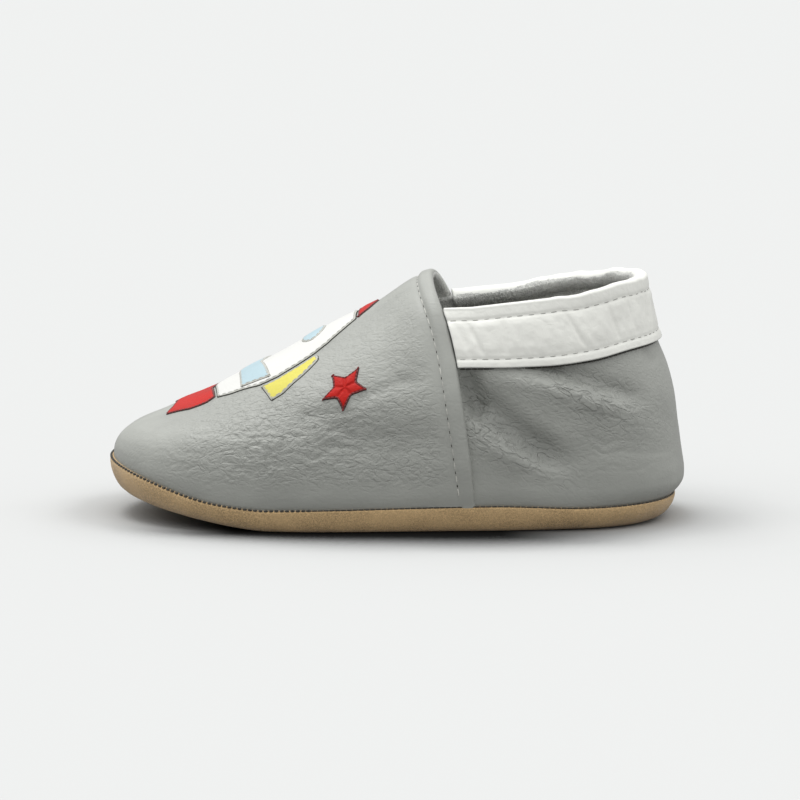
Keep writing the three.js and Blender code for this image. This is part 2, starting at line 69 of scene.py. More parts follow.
# Levels of the last: height by the instep's height, front and back by half the length,
# half width by half the ball's width, length of the toe's and the heel's rounding by the level's length
LEVELS = np.array([
    [0.0, -0.995, 0.985, 0.985, 0.34, 0.21],
    [0.1, -1.0, 0.995, 0.995, 0.34, 0.21],
    [0.2, -1.0, 0.997, 1.003, 0.34, 0.21],
    [0.275, -0.99, 0.989, 1.0, 0.34, 0.215],
    [0.32, -0.973, 0.984, 0.992, 0.34, 0.22],
    [0.366, -0.93, 0.98, 0.982, 0.34, 0.225],
    [0.425, -0.821, 0.973, 0.962, 0.345, 0.235],
    [0.53, -0.62, 0.957, 0.915, 0.355, 0.255],
    [0.64, -0.447, 0.935, 0.845, 0.37, 0.29],
    [0.77, -0.25, 0.892, 0.755, 0.4, 0.34],
    [0.9, -0.054, 0.862, 0.675, 0.435, 0.39],
    [0.96, 0.048, 0.853, 0.645, 0.45, 0.41],
    [1.0, 0.127, 0.847, 0.62, 0.46, 0.43],
])

# Waist of the outline: place along a level, half widths low on the outer and inner side, and at the collar
WAIST = np.array([
    [0.0, 0.99, 0.99, 0.97],
    [0.33, 1.0, 1.0, 0.97],
    [0.62, 0.88, 0.85, 1.0],
    [0.85, 0.8, 0.8, 1.0],
    [1.0, 0.79, 0.79, 1.0],
])

# Sole edge: place by half the length, rise of the seam by its height,
# width of the curl by half the ball's width
SOLE_EDGE = np.array([
    [-1.0, 1.3, 0.13],
    [-0.85, 1.14, 0.13],
    [-0.6, 0.855, 0.115],
    [-0.3, 0.92, 0.09],
    [0.1, 1.01, 0.085],
    [0.35, 1.05, 0.09],
    [0.65, 0.95, 0.15],
    [0.85, 1.0, 0.19],
    [1.0, 1.06, 0.22],
])

# Collar: place by half the length, rim of the outer and inner side by the collar's height,
# drop of the cuff's lower edge by its depth
COLLAR = np.array([
    [0.05, 0.866, 0.862, 0.85],
    [0.18, 0.882, 0.88, 0.86],
    [0.36, 0.9, 0.9, 0.92],
    [0.52, 0.926, 0.94, 0.98],
    [0.68, 0.957, 0.969, 1.0],
    [0.8, 0.988, 0.987, 1.0],
    [0.9, 1.0, 1.0, 0.97],
])

# Sewn-on pieces: along from the toe's tip by the ridge's length,
# across from the ridge by half the ball's width
BODY_EDGE = np.array([
    [0.34, 0.0], [0.363, 0.42], [0.401, 0.475], [0.446, 0.51], [0.49, 0.56], [0.545, 0.57],
    [0.6, 0.535], [0.647, 0.5], [0.69, 0.45], [0.734, 0.355], [0.775, 0.255],
])
NOSE_EDGE = np.array([
    [0.779, 0.245], [0.815, 0.15], [0.843, 0.0],
])
FLAME_EDGE = np.array([
    [0.225, 0.0], [0.222, 0.17], [0.209, 0.315], [0.285, 0.425], [0.335, 0.43],
    [0.357, 0.385], [0.335, 0.0],
])
FIN_EDGE = np.array([
    [0.495, 0.588], [0.527, 0.8], [0.56, 0.79], [0.615, 0.7], [0.66, 0.6],
    [0.66, 0.54], [0.645, 0.525], [0.6, 0.562], [0.545, 0.595],
])
BAND_EDGE = np.array([
    [0.415, 0.0], [0.436, 0.475], [0.527, 0.53], [0.488, 0.0],
])
WINDOW_PLACE = 0.645
WINDOW_RADII = (3.2, 8.0)

# Star: place like the pieces above, reach of its tips, depth of its notches and turn of its first tip
STAR_PLACE = (0.721, 0.955)
STAR_REACH = 5.2
STAR_NOTCH = 0.5
STAR_TURN = math.radians(118)


def smoothstep(x: Array, low: float, high: float) -> Array:
    """Ease from 0 at low to 1 at high: 3t² - 2t³ of the clamped share t."""
    t = np.clip((np.asarray(x, float) - low) / (high - low), 0.0, 1.0)
    return t * t * (3.0 - 2.0 * t)


def lerp(a: Array | float, b: Array | float, t: Array | float) -> Array:
    """Straight mix of a and b by t."""
    return a + (b - a) * t


def column(rows: Array, index: int) -> Callable[[Array], Array]:
    """A smooth curve through one column of a table, without overshoot.

    Cubic pieces between the rows, whose slope at a row is the harmonic mean of the two neighbouring rates,
    or nothing where the rates differ in sign.

    Args:
        rows: the table, its first column ascending.
        index: the column that the curve gives.

    Returns:
        A function from places to values.
    """
    places = rows[:, 0]
    values = rows[:, index]
    rates = np.diff(values) / np.diff(places)
    product = rates[:-1] * rates[1:]
    inner = np.where(product > 0, 2 * product / np.where(product > 0, rates[:-1] + rates[1:], 1.0), 0.0)
    slopes = np.concatenate([[rates[0]], inner, [rates[-1]]])

    def curve(x: Array) -> Array:
        """The curve's value at x."""
        x = np.clip(x, places[0], places[-1])
        i = np.clip(np.searchsorted(places, x, side="left") - 1, 0, len(places) - 2)
        run = places[i + 1] - places[i]
        t = (x - places[i]) / run
        rest = 1.0 - t
        start = rest**2 * (1 + 2 * t) * values[i] + t * rest**2 * run * slopes[i]
        end = t**2 * (3 - 2 * t) * values[i + 1] - t**2 * rest * run * slopes[i + 1]
        return start + end

    return curve


def bell(distance: Array, width: float) -> Array:
    """A bell-shaped section: exp(-(d/w)²)."""
    return np.exp(-((distance / width) ** 2))


def unit(vectors: Array) -> Array:
    """The vectors at length one."""
    return vectors / np.maximum(np.linalg.norm(vectors, axis=-1, keepdims=True), 1e-12)


def value_noise(x: Array, y: Array | float, seed: int) -> Array:
    """Smooth noise of a unit lattice: random heights at whole places, eased between them.

    Args:
        x: first coordinate, in lattice steps.
        y: second coordinate, in lattice steps.
        seed: seed of the random heights.

    Returns:
        Values from -1 to 1.
    """
    table = np.random.default_rng(seed).uniform(-1.0, 1.0, (64, 64))
    i = np.floor(x).astype(int)
    j = np.floor(y).astype(int)
    u = smoothstep(x - i, 0.0, 1.0)
    v = smoothstep(y - j, 0.0, 1.0)
    low = lerp(table[i % 64, j % 64], table[(i + 1) % 64, j % 64], u)
    high = lerp(table[i % 64, (j + 1) % 64], table[(i + 1) % 64, (j + 1) % 64], u)
    return lerp(low, high, v)


@dataclass
class Last:
    """The shoe's last: charts of vamp and quarter, in millimetres, from the part's own named sizes."""

    length: float = 126.4
    ball_width: float = 62.0
    instep_height: float = 52.4
    collar_height: float = 52.6
    toe_swing: float = 1.5
    toe_spring: float = 6.2
    toe_tip_power: float = 2.25
    heel_tip_power: float = 2.3
    clearance: float = 0.3
    seam_height: float = 4.9
    cuff_depth: float = 13.4
    tuck_toe: float = 0.4
    tuck_side: float = 0.7
    tuck_heel: float = 2.6
    tuck_height: float = 4.0
    throat_foot: float = 19.1
    throat_lean: float = 0.643
    throat_flare_power: float = 6.0
    spring_start: float = -0.427
    spring_power: float = 1.35
    foot_start: float = 0.35
    shift: tuple[float, float, float] = (0.1703, -0.2708, 0.0)

    def __post_init__(self) -> None:
        """Work out the curves, the ridge's length and the foot of the throat."""
        self.half = self.length / 2
        self.level = [column(LEVELS, i) for i in range(1, 6)]
        self.waist = [column(WAIST, i) for i in range(1, 4)]
        self.rise = column(SOLE_EDGE, 1)
        self.curl = column(SOLE_EDGE, 2)
        self.rims = [column(COLLAR, i) for i in range(1, 4)]
        tip = float(self.foot_z(np.array(-self.half)))
        self.ridge_z = np.linspace(tip, self.instep_height, 400)
        self.ridge_x = self.front_x(self.ridge_z)
        strides = np.hypot(np.diff(self.ridge_x), np.diff(self.ridge_z))
        self.ridge_run = np.concatenate([[0.0], np.cumsum(strides)])
        self.ridge_length = float(self.ridge_run[-1])
        self.top_x = float(self.front_x(np.array(self.instep_height)))
        self.foot_end = self.throat_foot
        for _ in range(6):
            self.foot_end = float(self.throat_x(self.foot_z(np.array(self.foot_end))))

    def spring_z(self, x: Array) -> Array:
        """Height of the sole's underside: a power curve ahead of the ball."""
        start = self.spring_start * self.half
        share = np.maximum(0.0, (start - np.asarray(x, float)) / (start + self.half))
        return self.toe_spring * share**self.spring_power

    def seam_z(self, x: Array) -> Array:
        """Height of the sole's seam."""
        return self.spring_z(x) + self.seam_height * self.rise(np.asarray(x, float) / self.half)

    def foot_z(self, x: Array) -> Array:
        """Height of the upper's foot on the seam."""
        return self.seam_z(x) + self.clearance

    def rim_z(self, x: Array, side: Array) -> Array:
        """Height of the collar's rim on either side."""
        place = np.asarray(x, float) / self.half
        return self.collar_height * np.where(side > 0, self.rims[0](place), self.rims[1](place))

    def centre_y(self, x: Array) -> Array:
        """Middle line of the last, which swings inwards at the toe."""
        return self.toe_swing * smoothstep(-np.asarray(x, float) / self.half, 0.1, 1.0)

    def tuck(self, x: Array, z: Array) -> Array:
        """How far the upper turns in to the seam: the square of the share of the tuck's height left."""
        return (1.0 - np.clip((z - self.foot_z(x)) / self.tuck_height, 0.0, 1.0)) ** 2

    def front_x(self, z: Array, x: Array | None = None) -> Array:
        """Front of the last at a height."""
        x = np.full_like(z, -self.half) if x is None else x
        return self.level[0](z / self.instep_height) * self.half + self.tuck_toe * self.tuck(x, z)

    def back_x(self, z: Array, x: Array | None = None) -> Array:
        """Back of the last at a height."""
        x = np.full_like(z, self.half) if x is None else x
        return self.level[1](z / self.instep_height) * self.half - self.tuck_heel * self.tuck(x, z)

    def throat_x(self, z: Array) -> Array:
        """The throat line in the side view: a lean with a flare near the top."""
        height = np.asarray(z, float) / self.instep_height
        share = 1 - self.throat_lean * height
        share = share - (1 - self.throat_lean) * np.abs(height) ** self.throat_flare_power
        return self.top_x + (self.throat_foot - self.top_x) * share

    def half_width(self, x: Array, z: Array, side: Array) -> Array:
        """Half width of the last: a full width with a superellipse of its own at toe and heel.

        Args:
            x: place along the shoe.
            z: height.
            side: 1 outside and -1 inside.

        Returns:
            The distance from the middle line.
        """
        height = z / self.instep_height
        front = self.front_x(z, x)
        place = np.clip((x - front) / (self.back_x(z, x) - front), 0.0, 1.0)
        low = np.where(side > 0, self.waist[0](place), self.waist[1](place))
        fade = smoothstep(height, 0.2, 0.9)
        full = self.ball_width / 2 * self.level[2](height) - self.tuck_side * self.tuck(x, z)
        toe = self._rounded(place / self.level[3](height), self.toe_tip_power)
        heel = self._rounded((1 - place) / self.level[4](height), self.heel_tip_power)
        return full * lerp(low, self.waist[2](place), fade) * toe * heel

    @staticmethod
    def _rounded(share: Array, power: float) -> Array:
        """A superellipse's height by the share of its half axis."""
        return (1.0 - (1.0 - np.minimum(share, 1.0)) ** power) ** (1.0 / power)

    def point(self, x: Array, z: Array, side: Array, middle: Array) -> Array:
        """A point of the last's surface, on the middle line where middle is true."""
        width = np.where(middle, 0.0, self.half_width(x, z, side))
        return np.stack([x, self.centre_y(x) - side * width, z], axis=-1)

    def foot_x(self, s: Array) -> Array:
        """Foot of each vamp section on the seam: a cubic that keeps pace with the ridge at the throat."""
        run = self.foot_end - self.ridge_x[0]
        rest = 1.0 - s
        paced = self.foot_start * s * rest**2 - self.ridge_length / run * s**2 * rest
        return self.ridge_x[0] + run * (s**2 * (3 - 2 * s) + paced)

    def vamp(self, s: Array, t: Array) -> Array:
        """Chart of the vamp: s from the toe's tip to the throat, t from the outer seam to the inner one.

        Each section drops from the ridge to the seam as a quarter cosine, and bows with the throat line.
        """
        s, t = np.broadcast_arrays(np.asarray(s, float), np.asarray(t, float))
        side = np.where(t < 0, 1, -1)
        drop = 1 - np.cos(np.abs(t) * np.pi / 2)
        top_z = np.interp(s * self.ridge_length, self.ridge_run, self.ridge_z)
        foot = self.foot_x(s)
        low_z = float(self.foot_z(np.array(self.foot_end)))
        bow = self.throat_x(lerp(self.instep_height, low_z, drop)) - lerp(self.top_x, self.foot_end, drop)
        x = lerp(self.front_x(top_z), foot, drop) + bow * s**2
        z = lerp(top_z, self.foot_z(foot), drop)
        return self.point(x, z, side, t == 0)

    def quarter(self, u: Array, v: Array, lead: float = 0.0) -> Array:
        """Chart of the quarter: u from the outer throat round the heel to the inner one, v from seam to rim.

        Args:
            u: -1 to 1.
            v: 0 to 1.
            lead: how far the chart starts ahead of the throat.

        Returns:
            Points of the last's surface.
        """
        u, v = np.broadcast_arrays(np.asarray(u, float), np.asarray(v, float))
        side = np.where(u < 0, 1, -1)
        round_ = np.cos(np.abs(u) * np.pi / 2)
        x = lerp(self.throat_foot, self.half, round_)
        z = self.collar_height * v
        for _ in range(6):
            z = lerp(self.foot_z(x), self.rim_z(x, side), v)
            x = lerp(self.throat_x(z) - lead, self.back_x(z), round_)
        return self.point(x, z, side, u == 0)

    @staticmethod
    def normals(
        chart: Surface, a: Array, b: Array, low: tuple[float, float], high: tuple[float, float]
    ) -> Array:
        """Outward normals of a chart from central differences, taken inside the given limits.

        Args:
            chart: the chart.
            a: first parameter.
            b: second parameter.
            low: least value of each parameter.
            high: greatest value of each parameter.

        Returns:
            Unit normals.
        """
        step = 0.004
        a = np.clip(a, low[0], high[0])
        b = np.clip(b, low[1], high[1])
        across = chart(a + step, b) - chart(a - step, b)
        up = chart(a, b + step) - chart(a, b - step)
        return unit(np.cross(across, up))

    def vamp_normal(self, s: Array, t: Array) -> Array:
        """Outward normal of the vamp; it lies level at the foot and the toe's tip."""
        s, t = np.broadcast_arrays(np.asarray(s, float), np.asarray(t, float))
        flat = np.minimum(1.0, s / 0.03)
        normal = self.normals(self.vamp, s, t * flat, (0.03, -0.996), (0.996, 0.996))
        level = unit(normal * np.array([1.0, 1.0, 0.0]))
        return np.where(((s == 0) | (np.abs(t) >= 1))[..., None], level, normal)

    def quarter_normal(self, u: Array, v: Array, lead: float = 0.0) -> Array:
        """Outward normal of the quarter."""
        return self.normals(partial(self.quarter, lead=lead), u, v, (-0.996, 0.004), (0.996, 0.996))


@dataclass(frozen=True)
class Fold:
    """One soft fold: a straight line in a chart's millimetres with a bell-shaped section.

    Height is positive for a ridge and negative for a trough; the line's ends fade over its own length.
    """

    start: tuple[float, float]
    end: tuple[float, float]
    width: float
    height: float
    bend: float = 0.0

    def relief(self, p: Array, q: Array) -> Array:
        """Relief of this fold at chart places.

        The distance is taken from a line bowed by a parabola; across it runs exp(-(d/width)²), and along it
        a smooth fade over the outer quarter at each end.

        Args:
            p: first chart coordinate in millimetres.
            q: second chart coordinate in millimetres.

        Returns:
            Heights in millimetres.
        """
        ahead = np.array(self.end) - np.array(self.start)
        run = float(np.hypot(*ahead))
        along = ((p - self.start[0]) * ahead[0] + (q - self.start[1]) * ahead[1]) / run
        off = ((q - self.start[1]) * ahead[0] - (p - self.start[0]) * ahead[1]) / run
        share = along / run
        off = off - self.bend * 4 * share * (1 - share)
        fade = smoothstep(share, -0.15, 0.25) * (1 - smoothstep(share, 0.75, 1.15))
        return self.height * bell(off, self.width) * fade


@dataclass(frozen=True)
class Wrinkles:
    """A patch of fine creases in the side view: stretched noise inside a soft oval."""

    centre: tuple[float, float]
    reach: tuple[float, float]
    turn: float
    pitch: float
    stretch: float
    depth: float
    seed: int

    def relief(self, x: Array, z: Array) -> Array:
        """Relief of the creases.

        The places are turned to the creases' direction, and their noise is folded, -|noise|, which leaves
        soft pillows between narrow lines; the oval fades it out.

        Args:
            x: places along the shoe.
            z: heights.

        Returns:
            Heights in millimetres, zero or less.
        """
        along, across = self._turned(x, z)
        warp = value_noise(along / 4.0 + 7.3, across / 4.0 + 2.1, self.seed + 1) * 0.8
        slow = along / (self.pitch * self.stretch)
        lines = value_noise(slow + 9.1, across / self.pitch + warp + 5.7, self.seed)
        return -self.depth * self.oval(x, z) * (1 - np.minimum(1.0, np.abs(lines) * 3.0)) ** 1.5

    def oval(self, x: Array, z: Array) -> Array:
        """One in the middle of the oval, falling to nothing past its edge."""
        along, across = self._turned(x, z)
        return np.exp(-((along / self.reach[0]) ** 2) - (across / self.reach[1]) ** 2)

    def _turned(self, x: Array, z: Array) -> tuple[Array, Array]:
        """Places along and across the creases, from the oval's centre."""
        angle = math.radians(self.turn)
        p, q = x - self.centre[0], z - self.centre[1]
        return p * math.cos(angle) + q * math.sin(angle), q * math.cos(angle) - p * math.sin(angle)


# Folds of the quarter's outer side, in the side view: along the shoe and height, in millimetres
QUARTER_FOLDS = (
    Fold((15.8, 35.0), (19.5, 24.5), 2.3, -2.7),
    Fold((18.0, 31.0), (37.0, 15.0), 3.3, -2.2, -1.2),
    Fold((20.5, 34.0), (51.5, 25.0), 3.0, 1.3, 0.8),
    Fold((30.0, 37.0), (54.0, 28.0), 1.9, -1.1, 0.5),
    Fold((18.0, 20.0), (36.5, 11.5), 2.4, 0.8),
    Fold((38.0, 19.0), (57.0, 17.0), 3.0, -0.25, 0.6),
    Fold((54.0, 39.0), (56.6, 35.0), 1.0, -0.6),
)
QUARTER_WRINKLES = (
    Wrinkles((17.5, 29.0), (8.5, 4.0), -70.0, 1.5, 3.0, 0.34, 11),
    Wrinkles((26.5, 18.5), (13.0, 4.4), -27.0, 1.4, 3.4, 0.3, 17),
    Wrinkles((41.0, 30.0), (15.0, 5.4), -25.0, 1.4, 3.4, 0.32, 23),
    Wrinkles((47.0, 18.0), (10.0, 6.0), -6.0, 1.6, 4.0, 0.16, 29),
)
VAMP_WRINKLES = (
    Wrinkles((-24.0, 18.0), (20.0, 6.5), 4.0, 1.25, 3.4, 0.32, 37),
    Wrinkles((-9.0, 21.0), (16.0, 7.5), -8.0, 1.3, 3.0, 0.3, 41),
    Wrinkles((2.0, 33.0), (8.0, 10.0), -36.0, 1.6, 2.4, 0.18, 43),
)
VAMP_FOLDS = (
    Fold((-30.0, 25.5), (-6.0, 22.0), 3.2, -0.45),
    Fold((-24.0, 31.0), (2.0, 28.5), 3.0, 0.3, -0.8),
    Fold((-14.0, 19.0), (12.0, 22.5), 3.4, -0.35),
    Fold((-8.0, 27.5), (6.0, 33.0), 1.4, -0.4, 0.8),
    Fold((-20.0, 25.0), (-9.0, 26.5), 1.1, -0.35),
)


@dataclass
class Blueprint:
    """A mesh before Blender: points in millimetres, four-cornered faces, values for each point or face."""

    name: str
    points: Array
    faces: Array
    finish: Array | None = None
    uv: Array | None = None
    values: dict[str, Array] = field(default_factory=dict)

    def build(self, shift: tuple[float, float, float]) -> bpy.types.Object:
        """Weld the points, drop what has collapsed, and hand the rest to Blender.

        Points closer than a hundredth of a micrometre become one, so poles and seams are closed; a face that
        loses one corner by that becomes a triangle, and one that loses more goes.

        Args:
            shift: move from the last's frame to the part's frame.

        Returns:
            The piece, at the origin, with its place in its mesh.
        """
        keys = np.round(self.points * 1e5).astype(np.int64)
        _, first, joined = np.unique(keys, axis=0, return_index=True, return_inverse=True)
        faces = joined.reshape(-1)[self.faces]
        same = faces == np.roll(faces, -1, axis=1)
        crossed = (faces[:, 0] == faces[:, 2]) | (faces[:, 1] == faces[:, 3])
        count = same.sum(axis=1)
        whole = (count == 0) & ~crossed
        three = (count == 1) & ~crossed
        quads = faces[whole]
        triangles = faces[three][~same[three]].reshape(-1, 3)
        corners = np.concatenate([quads.ravel(), triangles.ravel()]).astype(np.int32)
        totals = np.concatenate([np.full(len(quads), 4), np.full(len(triangles), 3)]).astype(np.int32)
        starts = np.concatenate([[0], np.cumsum(totals)[:-1]]).astype(np.int32)
        place = (self.points[first] + np.array(shift)) * MM
        mesh = bpy.data.meshes.new(self.name)
        mesh.vertices.add(len(place))
        mesh.vertices.foreach_set("co", place.astype(np.float32).ravel())
        mesh.loops.add(len(corners))
        mesh.loops.foreach_set("vertex_index", corners)
        mesh.polygons.add(len(totals))
        mesh.polygons.foreach_set("loop_start", starts)
        mesh.polygons.foreach_set("loop_total", totals)
        mesh.polygons.foreach_set("use_smooth", np.ones(len(totals), bool))
        if self.finish is not None:
            chosen = np.concatenate([self.finish[whole], self.finish[three]]).astype(np.int32)
            mesh.polygons.foreach_set("material_index", chosen)
        if self.uv is not None:
            layer = mesh.uv_layers.new(name="UVMap")
            layer.data.foreach_set("uv", self.uv[first][corners].astype(np.float32).ravel())
        for name, value in self.values.items():
            attribute = mesh.attributes.new(name, "FLOAT", "POINT")
            attribute.data.foreach_set("value", value[first].astype(np.float32))
        mesh.update(calc_edges=True)
        mesh.validate()
        piece = bpy.data.objects.new(self.name, mesh)
        bpy.context.scene.collection.objects.link(piece)
        return piece


def grid_faces(rows: int, columns: int, close_columns: bool = False, start: int = 0) -> Array:
    """Faces of a grid of points, row by row; they point along row step × column step.

    Args:
        rows: number of rows.
        columns: number of columns.
        close_columns: whether the last column joins the first.
        start: index of the grid's first point.

    Returns:
        Four corners for each face.
    """
    steps = columns if close_columns else columns - 1
    i, j = np.meshgrid(np.arange(rows - 1), np.arange(steps), indexing="ij")
    k = (j + 1) % columns
    here, ahead = i * columns, (i + 1) * columns
    corners = np.stack([here + j, ahead + j, ahead + k, here + k], axis=-1)
    return corners.reshape(-1, 4) + start


def coarse(points: Array, row_step: int, column_step: int) -> Array:
    """A grid whose points keep still over a few rows and columns, so that welding thins it.

    Args:
        points: the grid.
        row_step: rows that share a place.
        column_step: columns that share a place.

    Returns:
        A grid of the same shape; its last row and column stay where they are.
    """
    rows = (np.arange(points.shape[0]) // row_step) * row_step
    columns = (np.arange(points.shape[1]) // column_step) * column_step
    rows[-1] = points.shape[0] - 1
    columns[-1] = points.shape[1] - 1
    return points[rows][:, columns]


def sheet(name: str, outside: Array, inside: Array, uv: Array | None, values: dict[str, Array]) -> Blueprint:
    """A closed sheet between two grids: two skins and four borders.

    Args:
        name: the piece's name.
        outside: grid of points of the outer skin.
        inside: grid of points of the inner skin, of the same shape.
        uv: two values for each point of a grid, or nothing.
        values: named values for each point of a grid.

    Returns:
        The mesh, with finish 0 on the outer skin and 1 elsewhere.
    """
    rows, columns = outside.shape[:2]
    number = np.arange(rows * columns).reshape(rows, columns)
    outer = grid_faces(rows, columns)
    inner = grid_faces(rows, columns, start=rows * columns)[:, ::-1]
    borders = []
    for line, flip in ((number[:, 0], False), (number[:, -1], True), (number[0], True), (number[-1], False)):
        lower = line + rows * columns
        strip = np.stack([line[:-1], lower[:-1], lower[1:], line[1:]], axis=-1)
        borders.append(strip[:, ::-1] if flip else strip)
    faces = np.concatenate([outer, inner, *borders])
    finish = np.concatenate([np.zeros(len(outer), int), np.ones(len(faces) - len(outer), int)])
    points = np.concatenate([outside.reshape(-1, 3), inside.reshape(-1, 3)])
    both = None if uv is None else np.concatenate([uv.reshape(-1, 2)] * 2)
    doubled = {key: np.concatenate([value.ravel()] * 2) for key, value in values.items()}
    return Blueprint(name, points, faces, finish, both, doubled)


def spread(points: Array, pitch: float, start: float = 0.0, end: float = 0.0) -> Array:
    """Evenly spaced shares along a line of points.

    Args:
        points: the line.
        pitch: wanted spacing.
        start: length left free at the start.
        end: length left free at the end.

    Returns:
        Places as real-valued indices into the line.
    """
    run = np.concatenate([[0.0], np.cumsum(np.linalg.norm(np.diff(points, axis=0), axis=1))])
    count = max(2, int(round((run[-1] - start - end) / pitch)) + 1)
    wanted = np.linspace(start, run[-1] - end, count)
    return np.interp(wanted, run, np.arange(len(points)))


def pick(values: Array, places: Array) -> Array:
    """Values of a line at real-valued indices, mixed straight between neighbours."""
    low = np.clip(np.floor(places).astype(int), 0, len(values) - 2)
    t = (places - low)[:, None]
    return values[low] * (1 - t) + values[low + 1] * t


def unrolled(points: Array, spacing: float) -> Array:
    """A closed outline at even spacing.

    Args:
        points: its corners.
        spacing: wanted distance between neighbours.

    Returns:
        Points round the outline, the first not repeated.
    """
    ring = np.concatenate([points, points[:1]])
    run = np.concatenate([[0.0], np.cumsum(np.linalg.norm(np.diff(ring, axis=0), axis=1))])
    count = max(12, int(round(run[-1] / spacing)))
    wanted = np.linspace(0.0, run[-1], count, endpoint=False)
    return np.stack([np.interp(wanted, run, ring[:, k]) for k in range(2)], axis=-1)


def edge_distance(points: Array, outline: Array) -> Array:
    """Distance of flat points from a closed outline: the least over its straight pieces."""
    a = outline
    b = np.roll(outline, -1, axis=0)
    ab = b - a
    rel = points[:, None, :] - a[None]
    t = np.clip((rel * ab).sum(-1) / np.maximum((ab * ab).sum(-1), 1e-12), 0.0, 1.0)
    return np.sqrt(((rel - t[..., None] * ab) ** 2).sum(-1).min(axis=1))


# How far the marks of the inner side are shifted along the shoe and upwards, against the outer side's
VAMP_WRINKLE_SHIFT = (3.1, 1.7)
VAMP_FOLD_SHIFT = (4.0, -1.0)
QUARTER_FOLD_SHIFT = (-1.5, 1.0)
QUARTER_WRINKLE_SHIFT = (-2.0, 0.7)


@dataclass
class Upper:
    """The upper: a vamp with a turned hem over a quarter, both with their folds and a napped lining."""

    last: Last
    wall: float = 1.4
    lap: float = 9.0
    lap_lift: float = 1.3
    lap_sink: float = 0.6
    hem_width: float = 3.3
    hem_round: float = 0.95
    hem_puff: float = 0.45
    hem_groove: float = 0.3
    skirt: float = 1.2
    lap_foot: float = 0.35
    lap_foot_start: float = 0.86
    # depth of fold at which the painted shade in its trough is full
    shade_depth: float = 2.4
    inner_fold_share: float = 0.8
    stations: int = 120
    places: int = 80

    def __post_init__(self) -> None:
        """Work out where the hem and the lap start along the ridge, and the arcs across it."""
        ridge = self.last.ridge_length
        self.hem_start = 1 - self.hem_width / ridge
        self.lap_start = 1 - self.lap / ridge
        self.rise_start = 2 * self.lap_start - 1 + self.hem_width / ridge
        self.station_s = np.linspace(0.02, 0.995, self.stations)
        self.arcs = {sign: self._arc_table(sign) for sign in (-1, 1)}

    def _arc_table(self, sign: int) -> Array:
        """Arc lengths from the ridge down one side, a row for each station."""
        t = np.linspace(0.0, 1.0, self.places + 1)
        place = self.last.vamp(self.station_s[:, None], sign * t[None, :])
        run = np.linalg.norm(np.diff(place, axis=1), axis=-1)
        return np.concatenate([np.zeros((self.stations, 1)), np.cumsum(run, axis=1)], axis=1)

    def vamp_lift(self, s: Array, t: Array) -> Array:
        """Height of the vamp's outside over the last: its rise over the lap, with groove and puff.

        The rise is less at its foot.
        """
        ridge = self.last.ridge_length
        ahead = (np.asarray(s, float) - self.hem_start) * ridge
        groove = -self.hem_groove * bell(ahead, 0.55)
        share = np.clip(ahead / self.hem_width, 0.0, 1.0)
        puff = self.hem_puff * np.sin(np.pi * np.sqrt(share) * 0.85)
        lift = self.lap_lift * smoothstep(s, self.rise_start, self.hem_start) + groove + puff
        return lift * lerp(1.0, self.lap_foot, smoothstep(np.abs(t), self.lap_foot_start, 1.0))

    def vamp_fade(self, s: Array) -> Array:
        """Where the vamp may wrinkle: everywhere but the hem."""
        return 1 - smoothstep(s, self.hem_start - 0.05, self.hem_start - 0.01)

    @staticmethod
    def marked(
        marks: tuple[Fold | Wrinkles, ...],
        place: Array,
        shares: tuple[Array, Array],
        shift: tuple[float, float],
    ) -> Array:
        """Relief of listed marks in the side view of either side.

        Args:
            marks: folds or creases of the outer side.
            place: points of the last.
            shares: how much each point takes of the outer side's marks and of the inner side's.
            shift: move of the inner side's marks against the outer side's.

        Returns:
            Heights in millimetres.
        """
        x, z = place[..., 0], place[..., 2]
        outer, inner = shares
        total = np.zeros_like(x)
        for mark in marks:
            total += outer * mark.relief(x, z) + inner * mark.relief(x + shift[0], z + shift[1])
        return total

    def vamp_relief(self, s: Array, t: Array) -> Array:
        """Folds and creases of the vamp, fading over the ridge and towards the seam."""
        place = self.last.vamp(s, t)
        x, z = place[..., 0], place[..., 2]
        across = np.asarray(t, float)
        shares = smoothstep(-across, -0.05, 0.3), smoothstep(across, -0.05, 0.3)
        creases = self.marked(VAMP_WRINKLES, place, shares, VAMP_WRINKLE_SHIFT)
        folds = self.marked(VAMP_FOLDS, place, shares, VAMP_FOLD_SHIFT)
        soft = 0.16 * value_noise(x / 7.0 + 3.0, z / 5.0 + 1.0, 51) * smoothstep(z, 12.0, 24.0)
        seam = smoothstep(1 - np.abs(t), 0.02, 0.2)
        return (creases + folds + soft) * self.vamp_fade(s) * seam

    def on_vamp(self, s: Array, t: Array, distance: Array | float = 0.0) -> Array:
        """A point over the vamp's dressed outside."""
        s, t = np.broadcast_arrays(np.asarray(s, float), np.asarray(t, float))
        height = self.vamp_lift(s, t) + self.vamp_relief(s, t) + distance
        return self.last.vamp(s, t) + self.last.vamp_normal(s, t) * height[..., None]

    def quarter_relief(self, place: Array, u: Array, v: Array) -> Array:
        """Folds and creases of the quarter, fading at heel, seam and rim."""
        x, z = place[..., 0], place[..., 2]
        outer = smoothstep(-np.asarray(u, float), 0.02, 0.3)
        inner = smoothstep(np.asarray(u, float), 0.02, 0.3)
        shares = outer, self.inner_fold_share * inner
        folds = self.marked(QUARTER_FOLDS, place, shares, QUARTER_FOLD_SHIFT)
        creases = self.marked(QUARTER_WRINKLES, place, (outer, inner), QUARTER_WRINKLE_SHIFT)
        soft = 0.2 * value_noise(x / 6.0 + 1.7, z / 7.0 + 4.0, 61)
        seam = smoothstep(v, 0.02, 0.2)
        return (folds + creases + soft) * seam * (1 - smoothstep(v, 0.93, 1.0))

